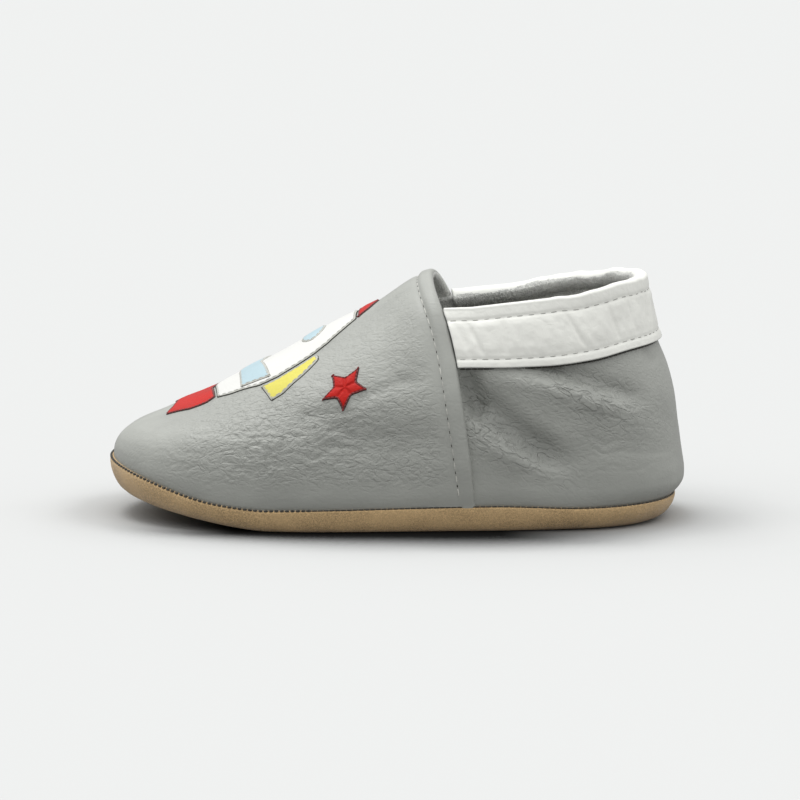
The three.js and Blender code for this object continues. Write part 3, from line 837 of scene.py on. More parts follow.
    def vamp_blueprint(self, rows: int = 190, columns: int = 216, turn: int = 5) -> Blueprint:
        """The vamp: outer skin with hem and creases, a round turned edge, and the napped inside.

        Rows run from the toe's tip to the throat; the last rows turn as a half circle of the hem's
        thickness.

        Args:
            rows: stations along the ridge.
            columns: places across.
            turn: steps of each quarter of the turned edge.

        Returns:
            The closed sheet.
        """
        ridge = self.last.ridge_length
        end = 1 - self.hem_round / ridge
        share = np.linspace(0.0, 1.0, rows)
        s = end * (0.75 * share + 0.25 * share**1.6)
        even = np.linspace(-1.0, 1.0, columns)
        t = np.sin(even * np.pi / 2) * 0.35 + even * 0.65
        grid_s, grid_t = np.meshgrid(s, t, indexing="ij")
        outside = self.on_vamp(grid_s, grid_t)
        normal = self.last.vamp_normal(grid_s, grid_t)
        sink = lerp(-self.wall, -self.lap_sink, smoothstep(grid_s, self.rise_start, self.hem_start))
        inside = self.last.vamp(grid_s, grid_t) + normal * sink[..., None]
        inside = coarse(inside, 4, 3)
        top, low = outside[-1], inside[-1]
        middle = (top + low) / 2
        out = (top - low) / 2
        radius = np.linalg.norm(out, axis=-1, keepdims=True)
        tangent = unit(self.last.vamp(0.999, t) - self.last.vamp(0.985, t))
        angles = np.linspace(0.0, np.pi / 2, turn + 1)[1:, None, None]
        reach = tangent * np.minimum(radius, self.hem_round * 1.15)
        roll = middle + out * np.cos(angles) + reach * np.sin(angles)
        back = middle - out * np.cos(angles) + reach * np.sin(angles)
        skirt = self._skirt(t)
        outside = np.concatenate([outside, roll]) + skirt
        inside = np.concatenate([inside, back]) + skirt
        all_s = np.concatenate([grid_s, np.repeat(grid_s[-1:], turn, axis=0)])
        all_t = np.concatenate([grid_t, np.repeat(grid_t[-1:], turn, axis=0)])
        place = self.last.vamp(all_s, all_t)
        low, high = smoothstep(place[..., 2], 8.5, 13.5), smoothstep(place[..., 2], 26.0, 34.0)
        region = smoothstep(place[..., 0], -54.0, -30.0) * low * (1 - 0.6 * high)
        grain = (0.2 + 0.8 * region) * lerp(0.25, 1.0, self.vamp_fade(all_s))
        uv = np.stack([all_s * ridge, all_t * self.last.ball_width / 2], axis=-1)
        # Painted shade: the folds' troughs darken the colour, fully at shade_depth deep
        recess_shade = np.clip(-self.vamp_relief(all_s, all_t) / self.shade_depth, 0.0, 1.0)
        return sheet("vamp", outside, inside, uv, {"grain": grain, "recess_shade": recess_shade})

    def _skirt(self, t: Array) -> Array:
        """Lower the foot's outermost points into the sole's seam, so that no gap shows."""
        down = np.zeros((1, len(t), 3))
        down[0, [0, -1], 2] = -self.skirt
        return down

    def quarter_blueprint(self, rows: int = 400, columns: int = 140) -> Blueprint:
        """The quarter: from under the outer lap round the heel to under the inner lap.

        Args:
            rows: places round the heel.
            columns: places from the seam to the rim.

        Returns:
            The closed sheet.
        """
        last = self.last
        u = np.linspace(-1.0, 1.0, rows)
        v = np.concatenate([[0.0], np.linspace(0.0, 1.0, columns)])
        grid_u, grid_v = np.meshgrid(u, v, indexing="ij")
        base = last.quarter(grid_u, grid_v, self.lap)
        normal = last.quarter_normal(grid_u, grid_v, self.lap)
        level = unit(normal * np.array([1.0, 1.0, 0.0]))
        normal = np.where((grid_v < 0.02)[..., None], level, normal)
        relief = self.quarter_relief(base, grid_u, grid_v)
        outside = base + normal * relief[..., None]
        inside = coarse(base + normal * (np.minimum(relief, 0.0) - self.wall)[..., None], 3, 3)
        for skin in (outside, inside):
            skin[:, 0, 2] -= self.skirt
        grain = smoothstep(base[..., 2], 9.0, 22.0) * (1 - 0.5 * smoothstep(base[..., 0], 46.0, 56.0))
        uv = np.stack([grid_u * last.half, grid_v * last.collar_height], axis=-1)
        # Painted shade: the folds' troughs darken the colour, fully at shade_depth deep
        recess_shade = np.clip(-relief / self.shade_depth, 0.0, 1.0)
        band = sum(wrinkles.oval(base[..., 0], base[..., 2]) for wrinkles in QUARTER_WRINKLES[:3])
        band = np.clip(band, 0.0, 1.0) * smoothstep(np.abs(grid_u), 0.02, 0.2)
        values = {"grain": 0.15 + 0.45 * grain, "recess_shade": recess_shade, "band": band}
        return sheet("quarter", outside, inside, uv, values)

    def ridge_place(self, along: Array, across: Array, distance: Array | float) -> Array:
        """Bend flat places on to the vamp: along the ridge, then across at constant station by arc length.

        The arc lengths come from a table of stations by places for each side, mixed between stations.

        Args:
            along: millimetres from the toe's tip.
            across: millimetres from the ridge, negative on the outer side.
            distance: height over the dressed outside.

        Returns:
            Points in the last's frame.
        """
        s = along / self.last.ridge_length
        at = np.interp(s, self.station_s, np.arange(self.stations))
        at = np.clip(at, 0, self.stations - 1.001)
        low = np.floor(at).astype(int)
        mix = (at - low)[..., None]
        sign = np.where(across < 0, -1, 1)
        outer, inner = (lerp(self.arcs[key][low], self.arcs[key][low + 1], mix) for key in (-1, 1))
        arcs = np.where((sign < 0)[..., None], outer, inner)
        wanted = np.abs(across)[..., None]
        found = np.clip((arcs < wanted).sum(-1) - 1, 0, self.places - 1)[..., None]
        before = np.take_along_axis(arcs, found, -1)
        after = np.take_along_axis(arcs, found + 1, -1)
        share = (found + (wanted - before) / np.maximum(after - before, 1e-9)) / self.places
        return self.on_vamp(s, sign * np.minimum(share[..., 0], 0.98), distance)


# Creases across the cuff: place round the collar, lean by the cuff's height, width and height in millimetres
CUFF_CREASES = (
    (-0.965, -0.15, 0.5, -0.2),
    (-0.925, -0.15, 0.35, -0.32),
    (-0.9, -0.1, 0.9, 0.14),
    (-0.83, 0.1, 0.4, -0.24),
    (-0.72, -0.1, 1.2, 0.14),
    (-0.576, -0.22, 0.3, -0.24),
    (-0.55, -0.22, 0.7, 0.12),
    (-0.405, -0.1, 0.4, -0.22),
    (-0.3, -0.1, 0.45, -0.16),
    (-0.14, 0.1, 0.6, -0.18),
    (0.1, 0.1, 0.6, -0.2),
    (0.33, 0.2, 0.5, -0.3),
    (0.55, -0.2, 0.5, -0.28),
    (0.83, -0.3, 0.6, -0.3),
)


@dataclass
class Cuff:
    """The white cuff over its elastic: two stitched lips, a soft band between them, a ragged lining edge."""

    last: Last
    clearance: float = 0.4
    thickness: float = 1.2
    wall: float = 1.4
    turn: float = 2.2
    lip: float = 1.9
    top_lip: float = 2.3
    lip_puff: float = 0.03
    groove: float = 0.2
    groove_width: float = 0.4
    band_puff: float = 0.2
    press: float = 0.4
    start: float = 0.3
    half_round: float = 46.0
    inner_gap: float = 0.35
    roll_rise: float = 0.75
    roll_leather: float = 0.9
    back_leather: float = 0.7
    lining_edge: int = 11

    def reach(self, u: Array) -> tuple[Array, Array]:
        """Shares of the quarter's height at the cuff's lower edge and at the end of its inner leg."""
        point = self.last.quarter(u, np.ones_like(u), -self.start)
        side = np.where(u < 0, 1, -1)
        tall = self.last.rim_z(point[..., 0], side) - self.last.foot_z(point[..., 0])
        drop = self.last.cuff_depth * self.last.rims[2](point[..., 0] / self.last.half)
        return 1 - drop / tall, 1 - self.turn / tall

    def waver(self, u: Array) -> Array:
        """Small rise and fall of the rim that the gathered elastic leaves."""
        slow = 0.26 * value_noise(u * 9.0 + 20.0, 0.5, 71)
        return slow + 0.12 * value_noise(u * 23.0 + 9.0, 0.0, 73)

    def face(self, u: Array, h: Array) -> Array:
        """Thickness over the quarter's skin: puffed lips, stitched grooves, and creases across the band.

        Args:
            u: place round the collar.
            h: share of the cuff's depth, from the lower edge to the rim.

        Returns:
            Distances from the last in millimetres.
        """
        depth = self.last.cuff_depth
        from_low = h * depth
        from_top = (1 - h) * depth
        lips = bell(from_low - 0.9, 0.75) + bell(from_top - 0.8, 0.9)
        grooves = bell(from_low - self.lip, self.groove_width)
        grooves = grooves + bell(from_top - self.top_lip, self.groove_width)
        band = smoothstep(from_low, 1.9, 4.5) * smoothstep(from_top, 2.1, 4.2)
        folds = np.zeros_like(h)
        for place, lean, width, height in CUFF_CREASES:
            folds += height * bell((u - place) * self.half_round - lean * (h - 0.5) * depth, width)
        soft = 0.24 * value_noise(u * 15.0 + 4.0, h * 2.2 + 1.0, 79)
        fine = 0.07 * value_noise(u * 60.0 + 4.0, h * 7.0 + 1.0, 83)
        rough = 0.035 * value_noise(u * 110.0 + 4.0, h * 12.0 + 1.0, 87)
        shape = self.lip_puff * lips - self.groove * grooves + self.band_puff * band
        skin = self.clearance + self.thickness - self.press
        return skin + shape + band * (folds + soft + fine) + rough

    def blueprint(self, rows: int = 330, legs: int = 56) -> Blueprint:
        """The cuff: outer leg, roll over the rim and short inner leg, carried round the collar.

        Args:
            rows: places round the collar.
            legs: places up the outer leg.

        Returns:
            The closed sheet; finish 0 outside and over the rim, up to the lining's edge, and 1 inside.
        """
        last = self.last
        u = np.linspace(-1.0, 1.0, rows)
        low, turn = self.reach(u)
        h = np.linspace(0.0, 1.0, legs)
        grid_u, grid_h = np.meshgrid(u, h, indexing="ij")
        v = lerp(low[:, None], 1.0, grid_h)
        base = last.quarter(grid_u, v, -self.start)
        normal = last.quarter_normal(grid_u, v, -self.start)
        face = self.face(grid_u, grid_h)
        leg = base + normal * face[..., None]
        rise = self.waver(grid_u) * smoothstep(grid_h, 0.2, 1.0)
        leg[..., 2] += rise
        top = base[:, -1:]
        out = normal[:, -1:]
        outward = face[:, -1:, None]
        deep = -self.wall - self.clearance - self.inner_gap
        angles = np.linspace(0.0, np.pi, 16)[1:-1][None, :, None]
        middle, radius = (outward + deep) / 2, (outward - deep) / 2
        roll = top + out * (middle + radius * np.cos(angles))
        roll[..., 2] += (self.clearance + self.roll_rise) * np.sin(angles[..., 0]) + rise[:, -1:]
        back_v = np.stack([np.ones_like(turn), turn], axis=1)
        back_u = np.stack([u, u], axis=1)
        back_normal = last.quarter_normal(back_u, back_v, -self.start)
        back = last.quarter(back_u, back_v, -self.start) + back_normal * deep
        back[..., 2] += rise[:, -1:] * np.array([1.0, 0.4])
        outside = np.concatenate([leg, roll, back], axis=1)
        inner_leg = base + normal * self.clearance
        inner_roll = top + out * (middle + (radius - self.roll_leather) * np.cos(angles))
        inner_roll[..., 2] += 0.3 * np.sin(angles[..., 0])
        inner_back = back + back_normal * self.back_leather
        inside = np.concatenate([inner_leg, inner_roll, inner_back], axis=1)
        inside[:, 0] = lerp(inside[:, 0], outside[:, 0], 0.15)
        columns = outside.shape[1]
        line = np.concatenate([h, 1.0 + np.linspace(0.05, 0.5, columns - legs)])
        around, up = u[:, None] * self.half_round, line[None, :] * last.cuff_depth
        uv = np.stack(np.broadcast_arrays(around, up), axis=-1)
        grain = np.full(outside.shape[:2], 0.5)
        plan = sheet("cuff", outside, coarse(inside, 3, 2), uv, {"grain": grain})
        outer_faces = (rows - 1) * (columns - 1)
        column = np.arange(outer_faces) % (columns - 1)
        edge = 1.6 * value_noise(u * 34.0 + 3.0, 0.4, 89) + 1.4 * value_noise(u * 11.0 + 5.0, 0.0, 91)
        ragged = np.round(edge).astype(int).repeat(columns - 1)
        lined = column >= legs + self.lining_edge + ragged[:outer_faces]
        plan.finish[:outer_faces] = np.where(lined, 1, 0)
        return plan

    def shadow_foot_line(self, below: float = 0.2, lift: float = 0.25) -> tuple[Array, Array]:
        """Points and normals on the quarter's skin just below the cuff, where a painted shadow line stands
        for the dark gap under its edge.
        """
        u = np.linspace(-0.985, 0.985, 500)
        low, _ = self.reach(u)
        v = low - below / self.last.collar_height
        normal = self.last.quarter_normal(u, v, -self.start)
        return self.last.quarter(u, v, -self.start) + normal * lift, normal

    def line(self, from_low: float | None = None, from_top: float | None = None) -> tuple[Array, Array]:
        """Points and normals round the collar at a fixed distance from the lower edge or from the rim."""
        u = np.linspace(-0.995, 0.995, 400)
        low, _ = self.reach(u)
        depth = self.last.cuff_depth
        h = np.full_like(u, from_low / depth if from_low is not None else 1 - from_top / depth)
        v = lerp(low, 1.0, h)
        normal = self.last.quarter_normal(u, v, -self.start)
        place = self.last.quarter(u, v, -self.start) + normal * self.face(u, h)[..., None]
        place[..., 2] += self.waver(u) * smoothstep(h, 0.2, 1.0)
        return place, normal


@dataclass
class Sole:
    """The suede sole, flat under the foot and curled up to the seam, and the pad that lies in it."""

    last: Last
    thickness: float = 2.0
    ledge: float = 0.8
    edge_rise: float = 0.55
    seam_out: float = 0.6
    seam_up: float = 0.45
    pad_thickness: float = 2.2
    pad_margin: float = 1.7
    pad_bevel: float = 1.8
    spine: tuple[float, float] = (-0.5, 0.56)
    stitched_to: float = -17.0

    def spokes(self, count: int) -> dict[str, Array]:
        """Spokes from the shoe's spine to its outline, toe to heel outside and back inside.

        Args:
            count: number of steps along one side.

        Returns:
            Arrays: spine points, directions, lengths, widths of the curl and heights of the rim.
        """
        last = self.last
        share = (1 - np.cos(np.pi * np.linspace(0.0, 1.0, count + 1))) / 2
        tip = last.foot_z(np.array(-last.half))
        front = float(last.front_x(tip))
        back = float(last.back_x(last.foot_z(np.array(last.half))))
        x = lerp(front, back, np.concatenate([share, share[1:-1][::-1]]))
        side = np.concatenate([np.ones(count + 1), -np.ones(count - 1)])
        edge = last.point(x, last.foot_z(x), side, np.zeros(len(x), bool))
        middle = np.clip(x, self.spine[0] * last.half, self.spine[1] * last.half)
        spine = np.stack([middle, last.centre_y(middle), np.zeros_like(x)], axis=-1)
        out = (edge - spine) * np.array([1.0, 1.0, 0.0])
        length = np.linalg.norm(out, axis=-1)
        return {
            "spine": spine,
            "out": out / length[:, None],
            "length": length,
            "curl": last.ball_width / 2 * last.curl(x / last.half),
            "rim": last.seam_z(x),
        }

    def _at(self, spokes: dict[str, Array], reach: Array, height: Array | float) -> Array:
        """Points on the spokes at a reach from the spine, raised by the toe spring and a height."""
        place = spokes["spine"][:, None, :] + spokes["out"][:, None, :] * reach[..., None]
        place[..., 2] = self.last.spring_z(place[..., 0]) + height
        return place

    def dish(self, spokes: dict[str, Array], depth: float, flat: int, bend: int) -> Array:
        """One face of the sole: flat, then a quarter of an ellipse up to the rim.

        Args:
            spokes: the outline's spokes.
            depth: distance from the underside.
            flat: number of places on the flat.
            bend: number of places on the curl.

        Returns:
            A grid of points, spoke by spoke.
        """
        outer = spokes["length"] + self.ledge - depth
        curl = spokes["curl"] - depth
        rows = [self._at(spokes, (outer - curl)[:, None] * np.linspace(0.0, 1.0, flat)[None, :], depth)]
        angle = np.linspace(0.0, np.pi / 2, bend + 1)[1:][None, :]
        place = self._at(spokes, outer[:, None] - curl[:, None] * (1 - np.sin(angle)), depth)
        place[..., 2] = lerp(place[..., 2], spokes["rim"][:, None], 1 - np.cos(angle))
        rows.append(place)
        return np.concatenate(rows, axis=1)

    def blueprint(self, count: int = 200, flat: int = 26, bend: int = 30) -> Blueprint:
        """The sole as a ring of spokes: underside, curled side, rounded cut edge and upper face.

        The side swells a little between the floor and the seam.

        Args:
            count: number of spokes along one side.
            flat: places on the flat of each spoke.
            bend: places on its curl.

        Returns:
            The closed mesh.
        """
        spokes = self.spokes(count)
        under = self.dish(spokes, 0.0, flat, bend)
        over = self.dish(spokes, self.thickness, flat, bend)
        x, y = under[..., 0], under[..., 1]
        swell = 0.14 * value_noise(x / 5.0, y / 5.0, 91) + 0.06 * value_noise(x / 1.7, y / 1.7, 93)
        rising = np.zeros(flat + bend)
        rising[flat:] = np.sin(np.linspace(0.1, 1.0, bend) * np.pi)
        bump = (swell * rising[None, :])[..., None] * spokes["out"][:, None, :]
        under = under + bump
        top, low = under[:, -1], over[:, -1]
        angles = np.linspace(0.0, np.pi, 9)[1:-1][None, :, None]
        middle, half = ((top + low) / 2)[:, None], ((top - low) / 2)[:, None]
        cut = middle + half * np.cos(angles)
        cut[..., 2] += self.edge_rise * np.sin(angles[..., 0])
        profile = np.concatenate([under, cut, over[:, ::-1]], axis=1)
        ring = np.concatenate([profile, profile[:1]])
        faces = grid_faces(ring.shape[0], ring.shape[1])
        return Blueprint("sole", ring.reshape(-1, 3), faces)

    def pad(self, count: int = 90) -> Blueprint:
        """The pad: a soft slab on the sole's flat, crowned in the middle, its bevelled edge rolled."""
        spokes = self.spokes(count)
        bottom = self.thickness + self.last.clearance
        low = spokes["length"] + self.ledge - spokes["curl"] - self.pad_margin
        share = np.linspace(0.0, 1.0, 34)[None, :]
        under = self._at(spokes, low[:, None] * share, bottom)
        edge = np.linspace(0.0, np.pi, 11)[1:-1][None, :]
        turned = (1 - np.cos(edge)) / 2
        reach = low[:, None] + self.pad_bevel * turned + 0.35 * np.sin(edge)
        side = self._at(spokes, reach, bottom + self.pad_thickness * turned)
        high = low + self.pad_bevel
        crown = 0.35 * (1 - share**2) + 0.12 * value_noise(share * 9.0, spokes["rim"][:, None], 97)
        over = self._at(spokes, high[:, None] * share, bottom + self.pad_thickness + crown * (share < 1))
        profile = np.concatenate([under, side, over[:, ::-1]], axis=1)
        ring = np.concatenate([profile, profile[:1]])
        return Blueprint("pad", ring.reshape(-1, 3), grid_faces(ring.shape[0], ring.shape[1]))

    def seam_line(self, count: int = 400) -> tuple[Array, Array]:
        """Points just above the sole's rim, from the toe's tip round the heel, and outward directions."""
        spokes = self.spokes(count)
        place = spokes["spine"] + spokes["out"] * (spokes["length"] + self.seam_out)[:, None]
        place[..., 2] = spokes["rim"] + self.seam_up
        outward = unit(spokes["out"] + np.array([0.0, 0.0, 0.35]))
        return place, outward


class Weave(Enum):
    """Kinds of stitch, and of the beads and lines of painted shade; each value is a thread's length, its
    radius and how high it bows, in millimetres.
    """

    RUNNING = (1.9, 0.16, 0.1)
    # painted shade: a dark bead that stands for the shade in a stitch hole
    HOLE_SHADE = (0.85, 0.24, -0.02)
    FINE = (1.5, 0.1, 0.03)
    TIGHT = (1.3, 0.1, 0.04)
    BAR = (0.95, 0.2, 0.08)
    SEAM = (0.98, 0.28, 0.06)
    # painted shadow: dark dashes that join into a line of shade along a seam
    LINE = (1.5, 0.17, 0.0)


@dataclass
class Stitching:
    """Rows of stitches, each a thread that rises out of the leather and dips back in; the same rows also lay
    beads and lines of painted shade.
    """

    name: str
    weave: Weave
    points: list[Array] = field(default_factory=list)
    ahead: list[Array] = field(default_factory=list)
    up: list[Array] = field(default_factory=list)

    def row(self, place: Array, normal: Array, pitch: float, start: float = 0.0, end: float = 0.0) -> None:
        """Add evenly pitched stitches along a line.

        Args:
            place: points of the line.
            normal: outward directions at those points.
            pitch: distance from stitch to stitch.
            start: length left free at the start.
            end: length left free at the end.
        """
        at = spread(place, pitch, start, end)
        centre = pick(place, at)
        before = pick(place, np.maximum(at - 0.5, 0.0))
        after = pick(place, np.minimum(at + 0.5, len(place) - 1.001))
        self.points.append(centre)
        self.ahead.append(unit(after - before))
        self.up.append(unit(pick(normal, at)))

    def blueprint(self, rings: int = 8, sides: int = 7) -> Blueprint:
        """All stitches as one mesh: a bowed thread with round ends, copied to each place by its own frame.

        Args:
            rings: places along a thread.
            sides: places round it.

        Returns:
            The mesh, closed at both ends.
        """
        length, radius, lift = self.weave.value
        a = np.linspace(0.0, 1.0, rings)[:, None]
        angle = (np.arange(sides) / sides * 2 * np.pi)[None, :]
        thick = radius * np.sqrt(np.maximum(1 - np.abs(2 * a - 1) ** 4, 0.0))
        local = np.stack(np.broadcast_arrays(
            (a - 0.5) * length,
            thick * np.cos(angle),
            lift * np.sin(np.pi * a) - 0.35 * radius + thick * np.sin(angle),
        ), axis=-1).reshape(-1, 3)
        centre = np.concatenate(self.points)
        ahead = np.concatenate(self.ahead)
        up = np.concatenate(self.up)
        side = unit(np.cross(up, ahead))
        up = np.cross(ahead, side)
        frames = np.stack([ahead, side, up], axis=1)
        points = centre[:, None, :] + np.einsum("pk,nkc->npc", local, frames)
        one = grid_faces(rings, sides, close_columns=True)
        faces = (one[None] + (np.arange(len(centre)) * len(local))[:, None, None]).reshape(-1, 4)
        tone = np.random.default_rng(5).uniform(0.0, 1.0, len(centre)).repeat(len(local))
        return Blueprint(self.name, points.reshape(-1, 3), faces, values={"tone": tone})


@dataclass
class Patch:
    """One sewn-on piece of leather, bent on to the vamp, with a soft body and a rolled edge."""

    name: str
    outline: Array
    centre: tuple[float, float]
    layer: int = 0
    groove: float = 0.0
    thickness: float = 0.42
    puff: float = 0.08
    edge: float = 0.5
    # width of the painted shadow line on the very rim
    rim: float = 0.16
    spacing: float = 0.4
    layer_height: float = 0.36
    rounding: float = 0.3
    under: float = -0.25

    def ring(self, inset: float = 0.0) -> Array:
        """The outline at even spacing, drawn in towards the centre line by an inset."""
        ring = unrolled(self.outline, self.spacing)
        ahead = np.roll(ring, -1, axis=0) - np.roll(ring, 1, axis=0)
        inward = unit(np.stack([-ahead[:, 1], ahead[:, 0]], axis=-1))
        soft = (np.roll(ring, 1, axis=0) + ring * 2 + np.roll(ring, -1, axis=0)) / 4
        return soft + inward * inset

    def blueprint(self, upper: Upper, rings: int = 34) -> Blueprint:
        """The piece: rings from the centre to the outline, raised by their distance from the edge.

        The height is the thickness times 1 - exp(-d / r), with d the distance from the edge and r its
        rounding, plus the puff where d is large, less the quilting: grooves that run from the centre to the
        outline's nearest corners.

        Args:
            upper: what the piece is sewn to.
            rings: rings between the centre and the outline.

        Returns:
            The closed piece; finish 1 within the edge's width of the outline and 2, a painted shadow line, on
            its very rim.
        """
        outline = self.ring()
        centre = np.array(self.centre)
        share = (1 - (1 - np.linspace(0.0, 1.0, rings)) ** 1.6)[:, None, None]
        flat = centre + share * (outline - centre)
        away = edge_distance(flat.reshape(-1, 2), outline).reshape(flat.shape[:2])
        away[-1] = 0.0
        base = self.layer * self.layer_height
        height = base + self.thickness * (1 - np.exp(-away / self.rounding))
        height = height + self.puff * smoothstep(away, 0.0, 3.0)
        height = height - self.quilting(flat - centre) * smoothstep(away, 0.2, 0.8)
        over = upper.ridge_place(flat[..., 0], flat[..., 1], height)
        under = upper.ridge_place(flat[..., 0], flat[..., 1], self.under)
        closed = [np.concatenate([part, part[:, :1]], axis=1) for part in (over, under, away, flat)]
        over, under, away, flat = closed
        plan = sheet(self.name, over, coarse(under, 4, 1), flat, {})
        faces = plan.faces[: (rings - 1) * len(outline)]
        mean = away.ravel()[np.minimum(faces, away.size - 1)].mean(axis=1)
        # Finish 2 on the very rim is a painted shadow line round the piece
        plan.finish[: len(faces)] = np.select([mean < self.rim, mean < self.edge], [2, 1], 0)
        return plan

    def quilting(self, out: Array) -> Array:
        """Depth of the quilting: a bell across each line from the centre to a near corner of the outline.

        Args:
            out: flat places from the centre.

        Returns:
            Depths in millimetres, nothing where the piece isn't quilted.
        """
        total = np.zeros(out.shape[:-1])
        if not self.groove:
            return total
        corners = self.outline - np.array(self.centre)
        reach = np.linalg.norm(corners, axis=1)
        for corner in corners[reach < reach.mean()]:
            ahead = corner / np.linalg.norm(corner)
            along = out @ ahead
            across = out[..., 0] * ahead[1] - out[..., 1] * ahead[0]
            total = np.maximum(total, bell(across, 0.3) * smoothstep(along, -0.2, 0.3))
        return self.groove * total

    def edge_line(self, upper: Upper, inset: float, height: float) -> tuple[Array, Array]:
        """Points and normals along the outline, inset and raised, for a row of stitches."""
        ring = self.ring(inset)
        ring = np.concatenate([ring, ring[:1]])
        level = self.layer * self.layer_height + height
        place = upper.ridge_place(ring[:, 0], ring[:, 1], level)
        above = upper.ridge_place(ring[:, 0], ring[:, 1], level + 1.0)
        return place, unit(above - place)


class Graph:
    """Adds and joins nodes of one tree in few words."""

    def __init__(self, tree: bpy.types.NodeTree) -> None:
        """Keep the tree and clear what is in it."""
        self.tree = tree
        tree.nodes.clear()

    def add(
        self, kind: str, inputs: dict[str | int, object] | None = None, **settings: object
    ) -> bpy.types.Node:
        """Add a node.

        Args:
            kind: Blender's name for the node, without "ShaderNode".
            inputs: value or source socket for each named input.
            settings: properties of the node.

        Returns:
            The node.
        """
        node = self.tree.nodes.new(kind if kind.startswith("NodeGroup") else "ShaderNode" + kind)
        for key, value in settings.items():
            setattr(node, key, value)
        for key, value in (inputs or {}).items():
            if isinstance(value, bpy.types.NodeSocket):
                self.tree.links.new(value, node.inputs[key])
            else:
                node.inputs[key].default_value = value
        return node

    def math(self, operation: str, a: object, b: object = 0.0) -> bpy.types.NodeSocket:
        """One sum; gives its socket."""
        return self.add("Math", {0: a, 1: b}, operation=operation).outputs[0]

    def vector(
        self, operation: str, a: object, b: object = None, scale: object = 1.0
    ) -> bpy.types.NodeSocket:
        """One sum of vectors, or a vector times a scale; gives its socket."""
        inputs = {0: a, "Scale": scale} if b is None else {0: a, 1: b}
        return self.add("VectorMath", inputs, operation=operation).outputs[0]

    def weighted(self, *terms: tuple[object, float]) -> bpy.types.NodeSocket:
        """Sum of values, each times its weight; gives the socket."""
        return reduce(partial(self.math, "ADD"), [self.math("MULTIPLY", *term) for term in terms])

    def noise(self, place: object, scale: float, detail: float, roughness: float = 0.5) -> bpy.types.Node:
        """Add a noise texture."""
        return self.add("TexNoise", {
            "Vector": place, "Scale": scale, "Detail": detail, "Roughness": roughness,
        })

    def ramp(
        self, value: object, low: float, high: float, start: float = 0.0, end: float = 1.0
    ) -> bpy.types.NodeSocket:
        """Ease a value from start at low to end at high; gives the socket."""
        inputs = {"Value": value, "From Min": low, "From Max": high, "To Min": start, "To Max": end}
        return self.add("MapRange", inputs, interpolation_type="SMOOTHSTEP").outputs["Result"]

    def mix(self, factor: object, a: object, b: object, blend: str = "MIX") -> bpy.types.NodeSocket:
        """Mix two colours; gives the socket."""
        node = self.add("Mix", data_type="RGBA", blend_type=blend)
        for index, value in ((0, factor), (6, a), (7, b)):
            if isinstance(value, bpy.types.NodeSocket):
                self.tree.links.new(value, node.inputs[index])
            else:
                node.inputs[index].default_value = value
        return node.outputs[2]


def rgba(colour: tuple[float, float, float], shade: float = 1.0) -> tuple[float, float, float, float]:
    """A colour with full alpha, made lighter or darker by a factor."""
    return (*(min(1.0, part * shade) for part in colour), 1.0)


